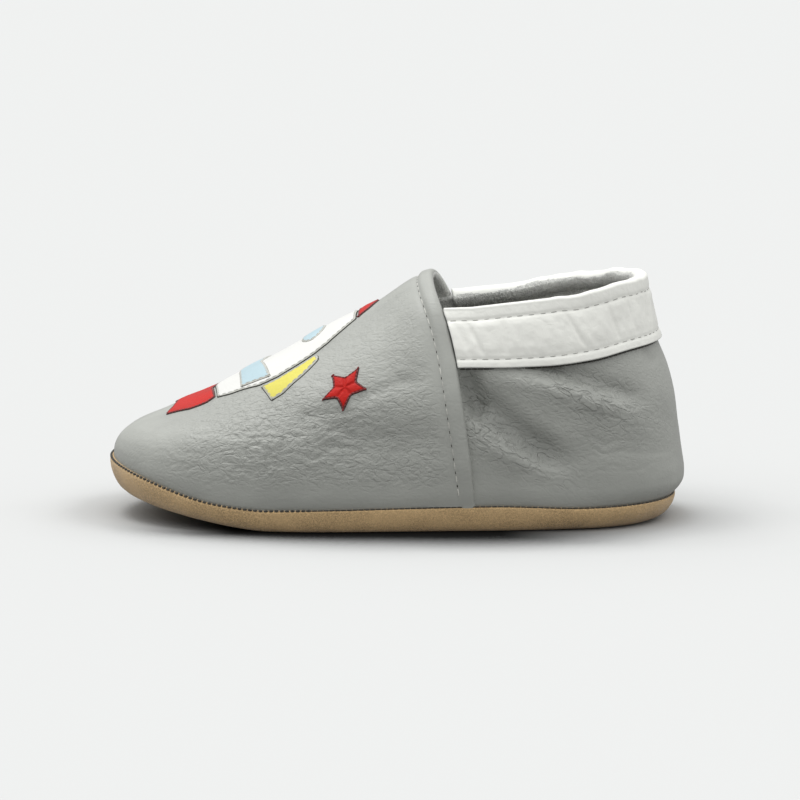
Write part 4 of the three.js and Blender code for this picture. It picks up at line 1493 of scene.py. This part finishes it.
class Effects:
    """Shader node groups that several finishes share, each built once, when it is first asked for."""

    @staticmethod
    def _group(
        name: str, inputs: dict[str, float], outputs: tuple[str, ...]
    ) -> tuple[Graph, bpy.types.Node, bpy.types.Node]:
        """Open a group with a vector, the named number inputs and the named number outputs."""
        tree = bpy.data.node_groups.new(name, "ShaderNodeTree")
        graph = Graph(tree)
        tree.interface.new_socket(name="Vector", in_out="INPUT", socket_type="NodeSocketVector")
        for key, value in inputs.items():
            socket = tree.interface.new_socket(name=key, in_out="INPUT", socket_type="NodeSocketFloat")
            socket.default_value = value
        for key in outputs:
            tree.interface.new_socket(name=key, in_out="OUTPUT", socket_type="NodeSocketFloat")
        return graph, graph.add("NodeGroupInput"), graph.add("NodeGroupOutput")

    @cached_property
    def pebbles(self) -> bpy.types.NodeTree:
        """Grained leather: long soft pillows between folded lines, warped cells in them, and fine pores.

        The group has Vector, Cell and Stretch in, and Height, Crease and Tone out.
        """
        inputs = {"Cell": 0.0013, "Stretch": 0.45}
        graph, given, out = self._group("pebbles", inputs, ("Height", "CreaseShade", "Tone"))
        per_metre = graph.math("DIVIDE", 1.0, given.outputs["Cell"])
        factors = graph.add("CombineXYZ", {"X": given.outputs["Stretch"], "Y": 1.0, "Z": 1.0}).outputs[0]
        scaled = graph.vector("SCALE", given.outputs["Vector"], scale=per_metre)
        longer = graph.vector("MULTIPLY", scaled, factors)
        warp = graph.noise(longer, 0.55, 2.0).outputs["Color"]
        off = graph.vector("SUBTRACT", warp, (0.5, 0.5, 0.5))
        place = graph.vector("ADD", longer, graph.vector("SCALE", off, scale=1.7))
        cells, small = (
            graph.add("TexVoronoi", {"Vector": place, "Scale": scale}, feature="DISTANCE_TO_EDGE")
            for scale in (1.0, 2.3)
        )
        rolling = graph.noise(place, 0.62, 1.6, 0.55).outputs["Fac"]
        line = graph.math("ABSOLUTE", graph.math("SUBTRACT", rolling, 0.5))
        height = graph.weighted(
            (graph.ramp(cells.outputs["Distance"], 0.0, 0.34), 0.36),
            (graph.ramp(small.outputs["Distance"], 0.0, 0.3), 0.16),
            (graph.ramp(line, 0.0, 0.13), 0.38),
            (graph.noise(place, 5.0, 3.0, 0.6).outputs["Fac"], 0.12),
            (graph.noise(longer, 0.3, 1.0).outputs["Fac"], 0.9),
        )
        graph.tree.links.new(height, out.inputs["Height"])
        # Painted shade along the folded lines
        graph.tree.links.new(graph.ramp(line, 0.0, 0.03, 0.35, 0.0), out.inputs["CreaseShade"])
        graph.tree.links.new(graph.noise(longer, 0.12, 3.0).outputs["Fac"], out.inputs["Tone"])
        return graph.tree

    @cached_property
    def creases(self) -> bpy.types.NodeTree:
        """Bands of short creases that run down towards the heel, as folded noise in the side view.

        The group has Vector, Pitch and Stretch in, and Height and Crease out.
        """
        inputs = {"Pitch": 0.00105, "Stretch": 0.5}
        graph, given, out = self._group("creases", inputs, ("Height", "CreaseShade"))
        tilt = {"Vector": given.outputs["Vector"], "Angle": math.radians(-27)}
        turned = graph.add("VectorRotate", tilt, rotation_type="Y_AXIS").outputs[0]
        per_metre = graph.math("DIVIDE", 1.0, given.outputs["Pitch"])
        factors = graph.add("CombineXYZ", {"X": given.outputs["Stretch"], "Y": 0.5, "Z": 1.0}).outputs[0]
        place = graph.vector("MULTIPLY", graph.vector("SCALE", turned, scale=per_metre), factors)
        rolling = graph.noise(place, 0.62, 1.5)
        rolling.inputs["Distortion"].default_value = 0.5
        line = graph.math("ABSOLUTE", graph.math("SUBTRACT", rolling.outputs["Fac"], 0.5))
        graph.tree.links.new(graph.ramp(line, 0.0, 0.1), out.inputs["Height"])
        # Painted shade along the creases' lines
        graph.tree.links.new(graph.ramp(line, 0.0, 0.055, 1.0, 0.0), out.inputs["CreaseShade"])
        return graph.tree

    @cached_property
    def nap(self) -> bpy.types.NodeTree:
        """Suede nap: short matted fibres in tufts.

        The group has Vector and Tuft in, and Height, Fleck and Tone out.
        """
        graph, given, out = self._group("nap", {"Tuft": 0.0006}, ("Height", "Fleck", "Tone"))
        per_metre = graph.math("DIVIDE", 1.0, given.outputs["Tuft"])
        place = graph.vector("SCALE", given.outputs["Vector"], scale=per_metre)
        tufts = graph.noise(place, 1.0, 4.0, 0.7).outputs["Fac"]
        fibres = graph.noise(place, 3.1, 2.0)
        fibres.inputs["Distortion"].default_value = 1.4
        height = graph.weighted((tufts, 0.65), (fibres.outputs["Fac"], 0.35))
        graph.tree.links.new(height, out.inputs["Height"])
        graph.tree.links.new(graph.ramp(fibres.outputs["Fac"], 0.35, 0.68), out.inputs["Fleck"])
        graph.tree.links.new(graph.noise(place, 0.09, 3.0).outputs["Fac"], out.inputs["Tone"])
        return graph.tree


@dataclass(frozen=True)
class Finish:
    """What every finish has: a name, a slot and a colour."""

    name: str
    slot: str
    colour: tuple[float, float, float]

    def _start(self) -> tuple[bpy.types.Material, Graph, bpy.types.NodeSocket]:
        """Open a material; gives it, its graph and its object coordinates."""
        material = bpy.data.materials.new(self.name)
        material.use_nodes = True
        material.diffuse_color = rgba(self.colour)
        graph = Graph(material.node_tree)
        return material, graph, graph.add("TexCoord").outputs["Object"]

    @staticmethod
    def _finish(graph: Graph, shader: bpy.types.Node) -> None:
        """Join the shader to the material's output."""
        output = graph.add("OutputMaterial")
        graph.tree.links.new(shader.outputs[0], output.inputs["Surface"])


@dataclass(frozen=True)
class Leather(Finish):
    """Grained leather: painted shade in creases and in the folds' troughs, a satin gloss that varies, a bump
    as deep as the grain.

    Where it follows the grain, the piece's attributes say where grain, the troughs' painted shade and the
    bands of creases lie.
    """

    cell: float = 0.0013
    stretch: float = 0.62
    depth: float = 0.00016
    roughness: float = 0.52
    crease_shade: float = 0.8
    variation: float = 0.06
    recess_shade_share: float = 1.6
    band_shade: float = 0.7
    band_height: float = 0.8
    follows_grain: bool = True
    specular: float = 0.5

    def material(self, effects: Effects) -> bpy.types.Material:
        """Build the material from the shared grain."""
        material, graph, place = self._start()
        group = graph.add("Group", node_tree=effects.pebbles)
        graph.tree.links.new(place, group.inputs["Vector"])
        group.inputs["Cell"].default_value = self.cell
        group.inputs["Stretch"].default_value = self.stretch
        # Painted shade along the grain's creases
        painted_shade = group.outputs["CreaseShade"]
        height = group.outputs["Height"]
        if self.follows_grain:
            grain = graph.add("Attribute", attribute_name="grain").outputs["Fac"]
            height = graph.math("MULTIPLY", height, grain)
            # Painted shade in the folds' troughs, from the piece's attribute
            recess_shade = graph.add("Attribute", attribute_name="recess_shade").outputs["Fac"]
            deep = graph.math("MULTIPLY", recess_shade, self.recess_shade_share)
            painted_shade = graph.math("MAXIMUM", graph.math("MULTIPLY", painted_shade, grain), deep)
            folded = graph.add("Group", node_tree=effects.creases)
            graph.tree.links.new(place, folded.inputs["Vector"])
            band = graph.add("Attribute", attribute_name="band").outputs["Fac"]
            lines = graph.math("MULTIPLY", folded.outputs["CreaseShade"], band)
            # Painted shade along the lines in the bands of creases
            painted_shade = graph.math("MAXIMUM", painted_shade, graph.math("MULTIPLY", lines, self.band_shade))
            rise = graph.math("MULTIPLY", folded.outputs["Height"], band)
            height = graph.math("ADD", height, graph.math("MULTIPLY", rise, self.band_height))
        tone = group.outputs["Tone"]
        light, dark = rgba(self.colour, 1 + self.variation), rgba(self.colour, 1 - self.variation)
        base = graph.mix(graph.ramp(tone, 0.3, 0.7), dark, light)
        # The colour darkens where the painted shade lies
        colour = graph.mix(painted_shade, base, rgba(self.colour, self.crease_shade))
        rough = graph.ramp(tone, 0.25, 0.75, self.roughness - 0.05, self.roughness + 0.07)
        bump = graph.add("Bump", {"Strength": 1.0, "Distance": self.depth, "Height": height})
        shader = graph.add("BsdfPrincipled", {
            "Base Color": colour, "Roughness": rough, "Normal": bump.outputs["Normal"],
            "Specular IOR Level": self.specular,
        })
        self._finish(graph, shader)
        return material


@dataclass(frozen=True)
class Suede(Finish):
    """Napped leather: flecked, matt, with a soft sheen."""

    tuft: float = 0.0006
    depth: float = 0.00025
    fleck_shade: float = 1.35
    variation: float = 0.12
    roughness: float = 0.95
    specular: float = 0.15
    sheen: float = 0.3

    def material(self, effects: Effects) -> bpy.types.Material:
        """Build the material from the shared nap."""
        material, graph, place = self._start()
        group = graph.add("Group", node_tree=effects.nap)
        graph.tree.links.new(place, group.inputs["Vector"])
        group.inputs["Tuft"].default_value = self.tuft
        shade = graph.ramp(group.outputs["Tone"], 0.3, 0.7)
        light, dark = rgba(self.colour, 1 + self.variation), rgba(self.colour, 1 - self.variation)
        fleck = rgba(self.colour, self.fleck_shade)
        colour = graph.mix(group.outputs["Fleck"], graph.mix(shade, dark, light), fleck)
        bump = graph.add("Bump", {"Strength": 1.0, "Distance": self.depth, "Height": group.outputs["Height"]})
        shader = graph.add("BsdfPrincipled", {
            "Base Color": colour, "Roughness": self.roughness, "Normal": bump.outputs["Normal"],
            "Specular IOR Level": self.specular, "Sheen Weight": self.sheen, "Sheen Roughness": 0.5,
        })
        self._finish(graph, shader)
        return material


@dataclass(frozen=True)
class Thread(Finish):
    """Sewing thread: each stitch a little lighter or darker, with the twist of its strands."""

    spread: float = 0.14
    strands_per_metre: float = 6000.0
    depth: float = 0.00008

    def material(self, effects: Effects) -> bpy.types.Material:
        """Build the material: the stitch's own tone and fine noise, with nothing of the shared groups."""
        material, graph, place = self._start()
        tone = graph.add("Attribute", attribute_name="tone").outputs["Fac"]
        colour = graph.mix(tone, rgba(self.colour, 1 - self.spread), rgba(self.colour, 1 + self.spread))
        strands = graph.noise(place, self.strands_per_metre, 2.0).outputs["Fac"]
        bump = graph.add("Bump", {"Strength": 0.7, "Distance": self.depth, "Height": strands})
        shader = graph.add("BsdfPrincipled", {
            "Base Color": colour, "Roughness": 0.7, "Normal": bump.outputs["Normal"], "Sheen Weight": 0.2,
        })
        self._finish(graph, shader)
        return material


FINISHES = (
    Leather("grey leather", "leather_grey", (0.325, 0.334, 0.308), cell=0.00115, stretch=0.6, depth=0.00024,
            roughness=0.49),
    Leather("white leather", "leather_white", (0.73, 0.735, 0.69), cell=0.0017, stretch=0.9, depth=0.00007,
            roughness=0.5, crease_shade=0.94, variation=0.02),
    Leather("rocket white", "leather_white", (0.65, 0.65, 0.625), cell=0.0015, stretch=1.0, depth=0.00003,
            roughness=0.5, crease_shade=0.96, variation=0.02, follows_grain=False),
    Leather("rocket red", "leather_red", (0.45, 0.013, 0.009), cell=0.0011, stretch=1.0, depth=0.00006,
            roughness=0.5, crease_shade=0.75, variation=0.08, follows_grain=False, specular=0.14),
    Leather("rocket blue", "leather_blue", (0.38, 0.51, 0.56), cell=0.0014, stretch=1.0, depth=0.00004,
            roughness=0.5, crease_shade=0.93, variation=0.03, follows_grain=False),
    Leather("rocket yellow", "leather_yellow", (0.63, 0.57, 0.095), cell=0.0014, stretch=1.0, depth=0.00004,
            roughness=0.5, crease_shade=0.92, variation=0.04, follows_grain=False, specular=0.3),
    Leather("cut edge", "leather_grey", (0.42, 0.42, 0.38), cell=0.0008, stretch=1.0, depth=0.00005,
            roughness=0.75, crease_shade=0.8, variation=0.1, follows_grain=False),
    Leather("red edge", "leather_red", (0.2, 0.008, 0.008), cell=0.0007, stretch=1.0, depth=0.00008,
            roughness=0.6, crease_shade=0.7, variation=0.15, follows_grain=False, specular=0.2),
    # Painted shadow: a near-black line on each sewn-on piece's very rim
    Leather("painted edge shadow", "leather_grey", (0.05, 0.05, 0.045), cell=0.0007, stretch=1.0, depth=0.00005,
            roughness=0.8, crease_shade=0.7, variation=0.15, follows_grain=False, specular=0.1),
    Suede("sole suede", "suede_tan", (0.385, 0.268, 0.138), tuft=0.0008, depth=0.0004,
          fleck_shade=1.65, variation=0.2),
    Suede("lining suede", "pad_grey", (0.5, 0.505, 0.48), tuft=0.0013, depth=0.0009,
          fleck_shade=1.6, variation=0.35),
    Suede("pad fleece", "pad_grey", (0.2, 0.205, 0.2), tuft=0.0012, depth=0.0005,
          fleck_shade=1.5, variation=0.15),
    Thread("grey thread", "thread", (0.4, 0.4, 0.37)),
    Thread("white thread", "thread", (0.5, 0.5, 0.46)),
    Thread("seam thread", "thread", (0.3, 0.3, 0.28)),
    # Shared by the toe's dark stitches and by the beads and lines of painted shade
    Thread("dark thread and painted shade", "thread", (0.03, 0.027, 0.02)),
    Thread("red thread", "thread", (0.16, 0.008, 0.008)),
)


@dataclass
class Studio:
    """Pale floor, soft light from above, and the camera where the photograph was taken from.

    The painted contact shadow darkens the floor by how open it is, from its range's start to its end; past
    the toe, past the heel and behind the shoe it is lifted by up to the last number of each of three ranges
    along X, X and Y.
    """

    azimuth: float = 3.0
    elevation: float = 7.5
    distance: float = 0.9
    view_width: float = 0.1758
    target: tuple[float, float, float] = (0.0, 0.0, 0.027)
    shift: tuple[float, float] = (0.0044, -0.0118)
    floor_shade: tuple[float, float, float] = (0.524, 0.53, 0.526)
    floor_bounce: float = 0.3
    floor_drop: float = 0.00003
    contact_reach: float = 0.04
    contact_range: tuple[float, float] = (0.6, 0.92)
    contact_least: float = 0.02
    past_toe: tuple[float, float, float] = (-0.066, -0.03, 0.85)
    past_heel: tuple[float, float, float] = (0.02, 0.066, 0.9)
    behind: tuple[float, float, float] = (-0.03, 0.02, 0.75)
    dome_above: float = 1.2
    dome_side: float = 0.4
    dome_least: float = 0.32
    sun_strength: float = 1.25
    sun_angle: float = 22.0
    sun_turn: tuple[float, float] = (-6.0, -16.0)

    def camera(self) -> None:
        """Put the camera on its sphere round the shoe, looking at the target."""
        turn, tilt = math.radians(self.azimuth), math.radians(self.elevation)
        data = bpy.data.cameras.new("camera")
        data.sensor_width = 36.0
        data.lens = 36.0 * self.distance / self.view_width
        data.shift_x, data.shift_y = self.shift
        data.clip_start, data.clip_end = 0.05, 50.0
        camera = bpy.data.objects.new("camera", data)
        out = np.array([math.sin(turn) * math.cos(tilt), -math.cos(turn) * math.cos(tilt), math.sin(tilt)])
        camera.location = np.array(self.target) + out * self.distance
        camera.rotation_euler = (math.pi / 2 - tilt, 0.0, turn)
        bpy.context.scene.collection.objects.link(camera)
        bpy.context.scene.camera = camera

    def floor(self) -> None:
        """A wide pale floor with a painted contact shadow, darkest close round the sole; it throws back less
        light than it shows.
        """
        mesh = bpy.data.meshes.new("floor")
        corners = np.array([[-6.0, -3.0], [6.0, -3.0], [6.0, 12.0], [-6.0, 12.0]])
        mesh.from_pydata([(x, y, -self.floor_drop) for x, y in corners], [], [(0, 1, 2, 3)])
        floor = bpy.data.objects.new("floor", mesh)
        bpy.context.scene.collection.objects.link(floor)
        material = bpy.data.materials.new("floor")
        material.use_nodes = True
        graph = Graph(material.node_tree)
        seen = graph.add("LightPath").outputs["Is Camera Ray"]
        # Painted contact shadow: ambient occlusion darkens the floor's colour near the shoe, eased off past
        # the toe, the heel and behind
        open_share = graph.add("AmbientOcclusion", {"Distance": self.contact_reach}).outputs["AO"]
        parts = graph.add("SeparateXYZ", {0: graph.add("TexCoord").outputs["Object"]}).outputs
        toe_start, toe_end, toe_lift = self.past_toe
        heel_start, heel_end, heel_lift = self.past_heel
        back_start, back_end, back_lift = self.behind
        lifts = [
            graph.ramp(open_share, *self.contact_range, self.contact_least, 1.0),
            graph.ramp(parts["Y"], back_start, back_end, 0.0, back_lift),
            graph.ramp(parts["X"], toe_start, toe_end, toe_lift, 0.0),
            graph.ramp(parts["X"], heel_start, heel_end, 0.0, heel_lift),
        ]
        full = reduce(partial(graph.math, "MAXIMUM"), lifts)
        shade = graph.mix(full, rgba((0.0, 0.0, 0.0)), rgba(self.floor_shade))
        colour = graph.mix(seen, rgba((self.floor_bounce,) * 3), shade)
        shader = graph.add("BsdfDiffuse", {"Color": colour})
        output = graph.add("OutputMaterial")
        graph.tree.links.new(shader.outputs[0], output.inputs["Surface"])
        mesh.materials.append(material)

    def light(self) -> None:
        """A dome that is brightest above and at the sides, and a soft light high up over the toe."""
        scene = bpy.context.scene
        scene.view_settings.view_transform = "Standard"
        scene.view_settings.look = "None"
        world = bpy.data.worlds.new("studio")
        world.use_nodes = True
        graph = Graph(world.node_tree)
        place = graph.add("TexCoord").outputs["Generated"]
        parts = graph.add("SeparateXYZ", {0: place}).outputs
        above = graph.ramp(parts["Z"], 0.0, 0.95, 0.0, self.dome_above)
        side = graph.ramp(graph.math("ABSOLUTE", parts["X"]), 0.35, 1.0, 0.0, self.dome_side)
        total = graph.math("ADD", graph.math("ADD", above, side), self.dome_least)
        background = graph.add("Background", {"Color": rgba((1.0, 1.0, 1.0)), "Strength": total})
        output = graph.add("OutputWorld")
        graph.tree.links.new(background.outputs[0], output.inputs["Surface"])
        scene.world = world
        sun = bpy.data.lights.new("overhead", "SUN")
        sun.energy = self.sun_strength
        sun.angle = math.radians(self.sun_angle)
        lamp = bpy.data.objects.new("overhead", sun)
        lamp.rotation_euler = (*(math.radians(turn) for turn in self.sun_turn), 0.0)
        scene.collection.objects.link(lamp)


# Distances from stitch to stitch in millimetres
HEM_PITCH = 2.9
CUFF_PITCH = 2.4
TOE_PITCH = 1.15
SHADOW_PITCH = 1.25
PATCH_PITCH = 1.6
RED_PITCH = 0.85


@dataclass
class Slipper:
    """The whole shoe: builds each piece from the last, dresses it and hands it to the frame."""

    effects: Effects = field(default_factory=Effects)
    last: Last = field(default_factory=Last)

    def __post_init__(self) -> None:
        """Make the finishes and the sub-assemblies."""
        self.materials = {finish.name: finish.material(self.effects) for finish in FINISHES}
        self.slots = {finish.name: finish.slot for finish in FINISHES}
        self.upper = Upper(self.last)
        self.cuff = Cuff(self.last)
        self.sole = Sole(self.last)

    def place(self, plan: Blueprint, *finishes: str, node: str | None = None) -> bpy.types.Object:
        """Build a piece, give it its finishes, and let it stand for its CAD node.

        Args:
            plan: the mesh.
            finishes: names of its finishes, the main one first.
            node: the CAD node that it replaces.

        Returns:
            The piece.
        """
        piece = plan.build(self.last.shift)
        for name in finishes:
            piece.data.materials.append(self.materials[name])
        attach(piece, "root")
        if node:
            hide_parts(node)
        LOG.info("%s: %d faces", piece.name, len(piece.data.polygons))
        return piece

    def build(self) -> None:
        """Build every piece in the order in which a maker would sew them."""
        self.place(self.sole.blueprint(), "sole suede", node="outsole")
        pad = self.place(self.sole.pad(), "pad fleece", node="insole")
        self.place(self.upper.vamp_blueprint(), "grey leather", "lining suede", node="upper")
        self.place(self.upper.quarter_blueprint(), "grey leather", "lining suede", node="upper")
        self.place(self.cuff.blueprint(), "white leather", "lining suede", node="collar_band")
        self.seams()
        self.sewn_on()

    def seams(self) -> None:
        """The hem's row with painted shade for its holes, the cuff's two rows, dark stitches at the toe and
        lines of painted shadow.

        The sole's seam has bars round the toe and a thin painted shadow line round the heel; another runs
        just under the cuff.
        """
        upper, last = self.upper, self.last
        t = np.linspace(-0.97, 0.97, 500)
        s = np.full_like(t, upper.hem_start)
        hem = Stitching("hem_stitches", Weave.RUNNING)
        line = (upper.on_vamp(s, t, 0.02), last.vamp_normal(s, t))
        hem.row(*line, HEM_PITCH, 1.5, 1.5)
        self.place(hem.blueprint(), "white thread")
        # Painted shade: dark beads between the hem's stitches stand for the shade in their holes
        holes = Stitching("hem_holes", Weave.HOLE_SHADE)
        holes.row(*line, HEM_PITCH, 2.95, 2.95)
        self.place(holes.blueprint(rings=6, sides=6), "dark thread and painted shade")
        cuff = Stitching("cuff_stitches", Weave.FINE)
        for line in (self.cuff.line(from_low=self.cuff.lip), self.cuff.line(from_top=self.cuff.top_lip)):
            cuff.row(*line, CUFF_PITCH, 1.0, 1.0)
        self.place(cuff.blueprint(), "seam thread")
        place, outward = (np.roll(part, len(part) // 2, axis=0) for part in self.sole.seam_line())
        front = np.nonzero(place[:, 0] < self.sole.stitched_to)[0]
        bars = Stitching("toe_stitches", Weave.SEAM)
        bars.row(place[front], outward[front], TOE_PITCH)
        self.place(bars.blueprint(rings=6, sides=6), "dark thread and painted shade")
        # Painted shadow: dark dashes along the sole's seam behind the toe's bars, and just under the cuff's
        # lower edge
        shadow = Stitching("seam_shadow_line", Weave.LINE)
        # The line's first two points coincide at the heel's tip, so the first has no direction
        for part in (slice(1, front[0]), slice(front[-1], None)):
            shadow.row(place[part], outward[part], SHADOW_PITCH)
        shadow.row(*self.cuff.shadow_foot_line(), SHADOW_PITCH)
        self.place(shadow.blueprint(rings=6, sides=6), "dark thread and painted shade")

    def outline(self, rows: Array, mirror: bool, side: Side = Side.OUTER) -> Array:
        """A sewn-on piece's outline in millimetres, from shares of the ridge and of half the ball.

        Args:
            rows: along and across, for one half or the whole outline.
            mirror: whether the other half is its mirror image across the ridge.
            side: which side a whole outline is on.

        Returns:
            Points, counter-clockwise.
        """
        flat = rows * np.array([self.last.ridge_length, self.last.ball_width / 2])
        if mirror:
            near = flat * np.array([1.0, -1.0])
            far = flat[flat[:, 1] > 0][::-1]
            flat = np.concatenate([near, far])
        else:
            flat = flat * np.array([1.0, -side.value])
        ahead = np.roll(flat, -1, axis=0)
        area = (flat[:, 0] * ahead[:, 1] - ahead[:, 0] * flat[:, 1]).sum()
        return flat if area > 0 else flat[::-1]

    def sewn_on(self) -> None:
        """The rocket and the two stars, with their stitching."""
        length = self.last.ridge_length
        angle = np.linspace(0.0, 2 * np.pi, 64, endpoint=False)
        window = np.stack([np.cos(angle), np.sin(angle)], axis=-1) * WINDOW_RADII
        window = window + np.array([WINDOW_PLACE * length, 0.0])
        body, nose, flame, band = (
            self.outline(rows, True) for rows in (BODY_EDGE, NOSE_EDGE, FLAME_EDGE, BAND_EDGE)
        )
        plans = [
            ("rocket_body", body, (0.56 * length, 0.0), 0, "rocket white", "cut edge"),
            ("rocket_nose", nose, (0.8 * length, 0.0), 0, "rocket red", "red edge"),
            ("rocket_flame", flame, (0.32 * length, 0.0), 0, "rocket red", "red edge"),
            ("rocket_band", band, (0.471 * length, 0.0), 1, "rocket blue", "cut edge"),
            ("rocket_window", window, (WINDOW_PLACE * length, 0.0), 1, "rocket blue", "cut edge"),
        ]
        for side in Side:
            label = side.name.lower()
            fin = self.outline(FIN_EDGE, False, side)
            star = self.star(side)
            plans += [
                (f"rocket_fin_{label}", fin, tuple(fin.mean(axis=0)), 0, "rocket yellow", "cut edge"),
                (f"star_{label}", star, tuple(star.mean(axis=0)), 0, "rocket red", "red edge"),
            ]
        grey = Stitching("rocket_stitches", Weave.TIGHT)
        red = Stitching("red_stitches", Weave.BAR)
        for name, outline, centre, layer, main, edge in plans:
            groove = 0.3 if name.startswith("star") else 0.0
            patch = Patch(f"{name}_leather", outline, centre, layer, groove)
            self.place(patch.blueprint(self.upper), main, edge, "painted edge shadow", node=name)
            if edge == "red edge":
                red.row(*patch.edge_line(self.upper, 0.3, 0.22), RED_PITCH)
            else:
                grey.row(*patch.edge_line(self.upper, 0.6, 0.36), PATCH_PITCH)
        self.place(grey.blueprint(rings=7, sides=6), "grey thread")
        self.place(red.blueprint(rings=6, sides=6), "red thread")

    def star(self, side: Side) -> Array:
        """A five-pointed star: tips and notches by turns round its centre."""
        along, across = STAR_PLACE
        centre = np.array([along * self.last.ridge_length, -side.value * across * self.last.ball_width / 2])
        step = np.arange(10)
        radius = STAR_REACH * np.where(step % 2, STAR_NOTCH, 1.0)
        angle = side.value * (STAR_TURN + step / 10 * 2 * np.pi)
        points = centre + np.stack([radius * np.cos(angle), radius * np.sin(angle)], axis=-1)
        return points if side is Side.OUTER else points[::-1]


def main() -> None:
    """Load the frame, build the studio and the slipper."""
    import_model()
    studio = Studio()
    studio.camera()
    studio.floor()
    studio.light()
    Slipper().build()
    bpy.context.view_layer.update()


if __name__ == "__main__":
    logging.basicConfig(level=logging.INFO, format="%(message)s")
    main()
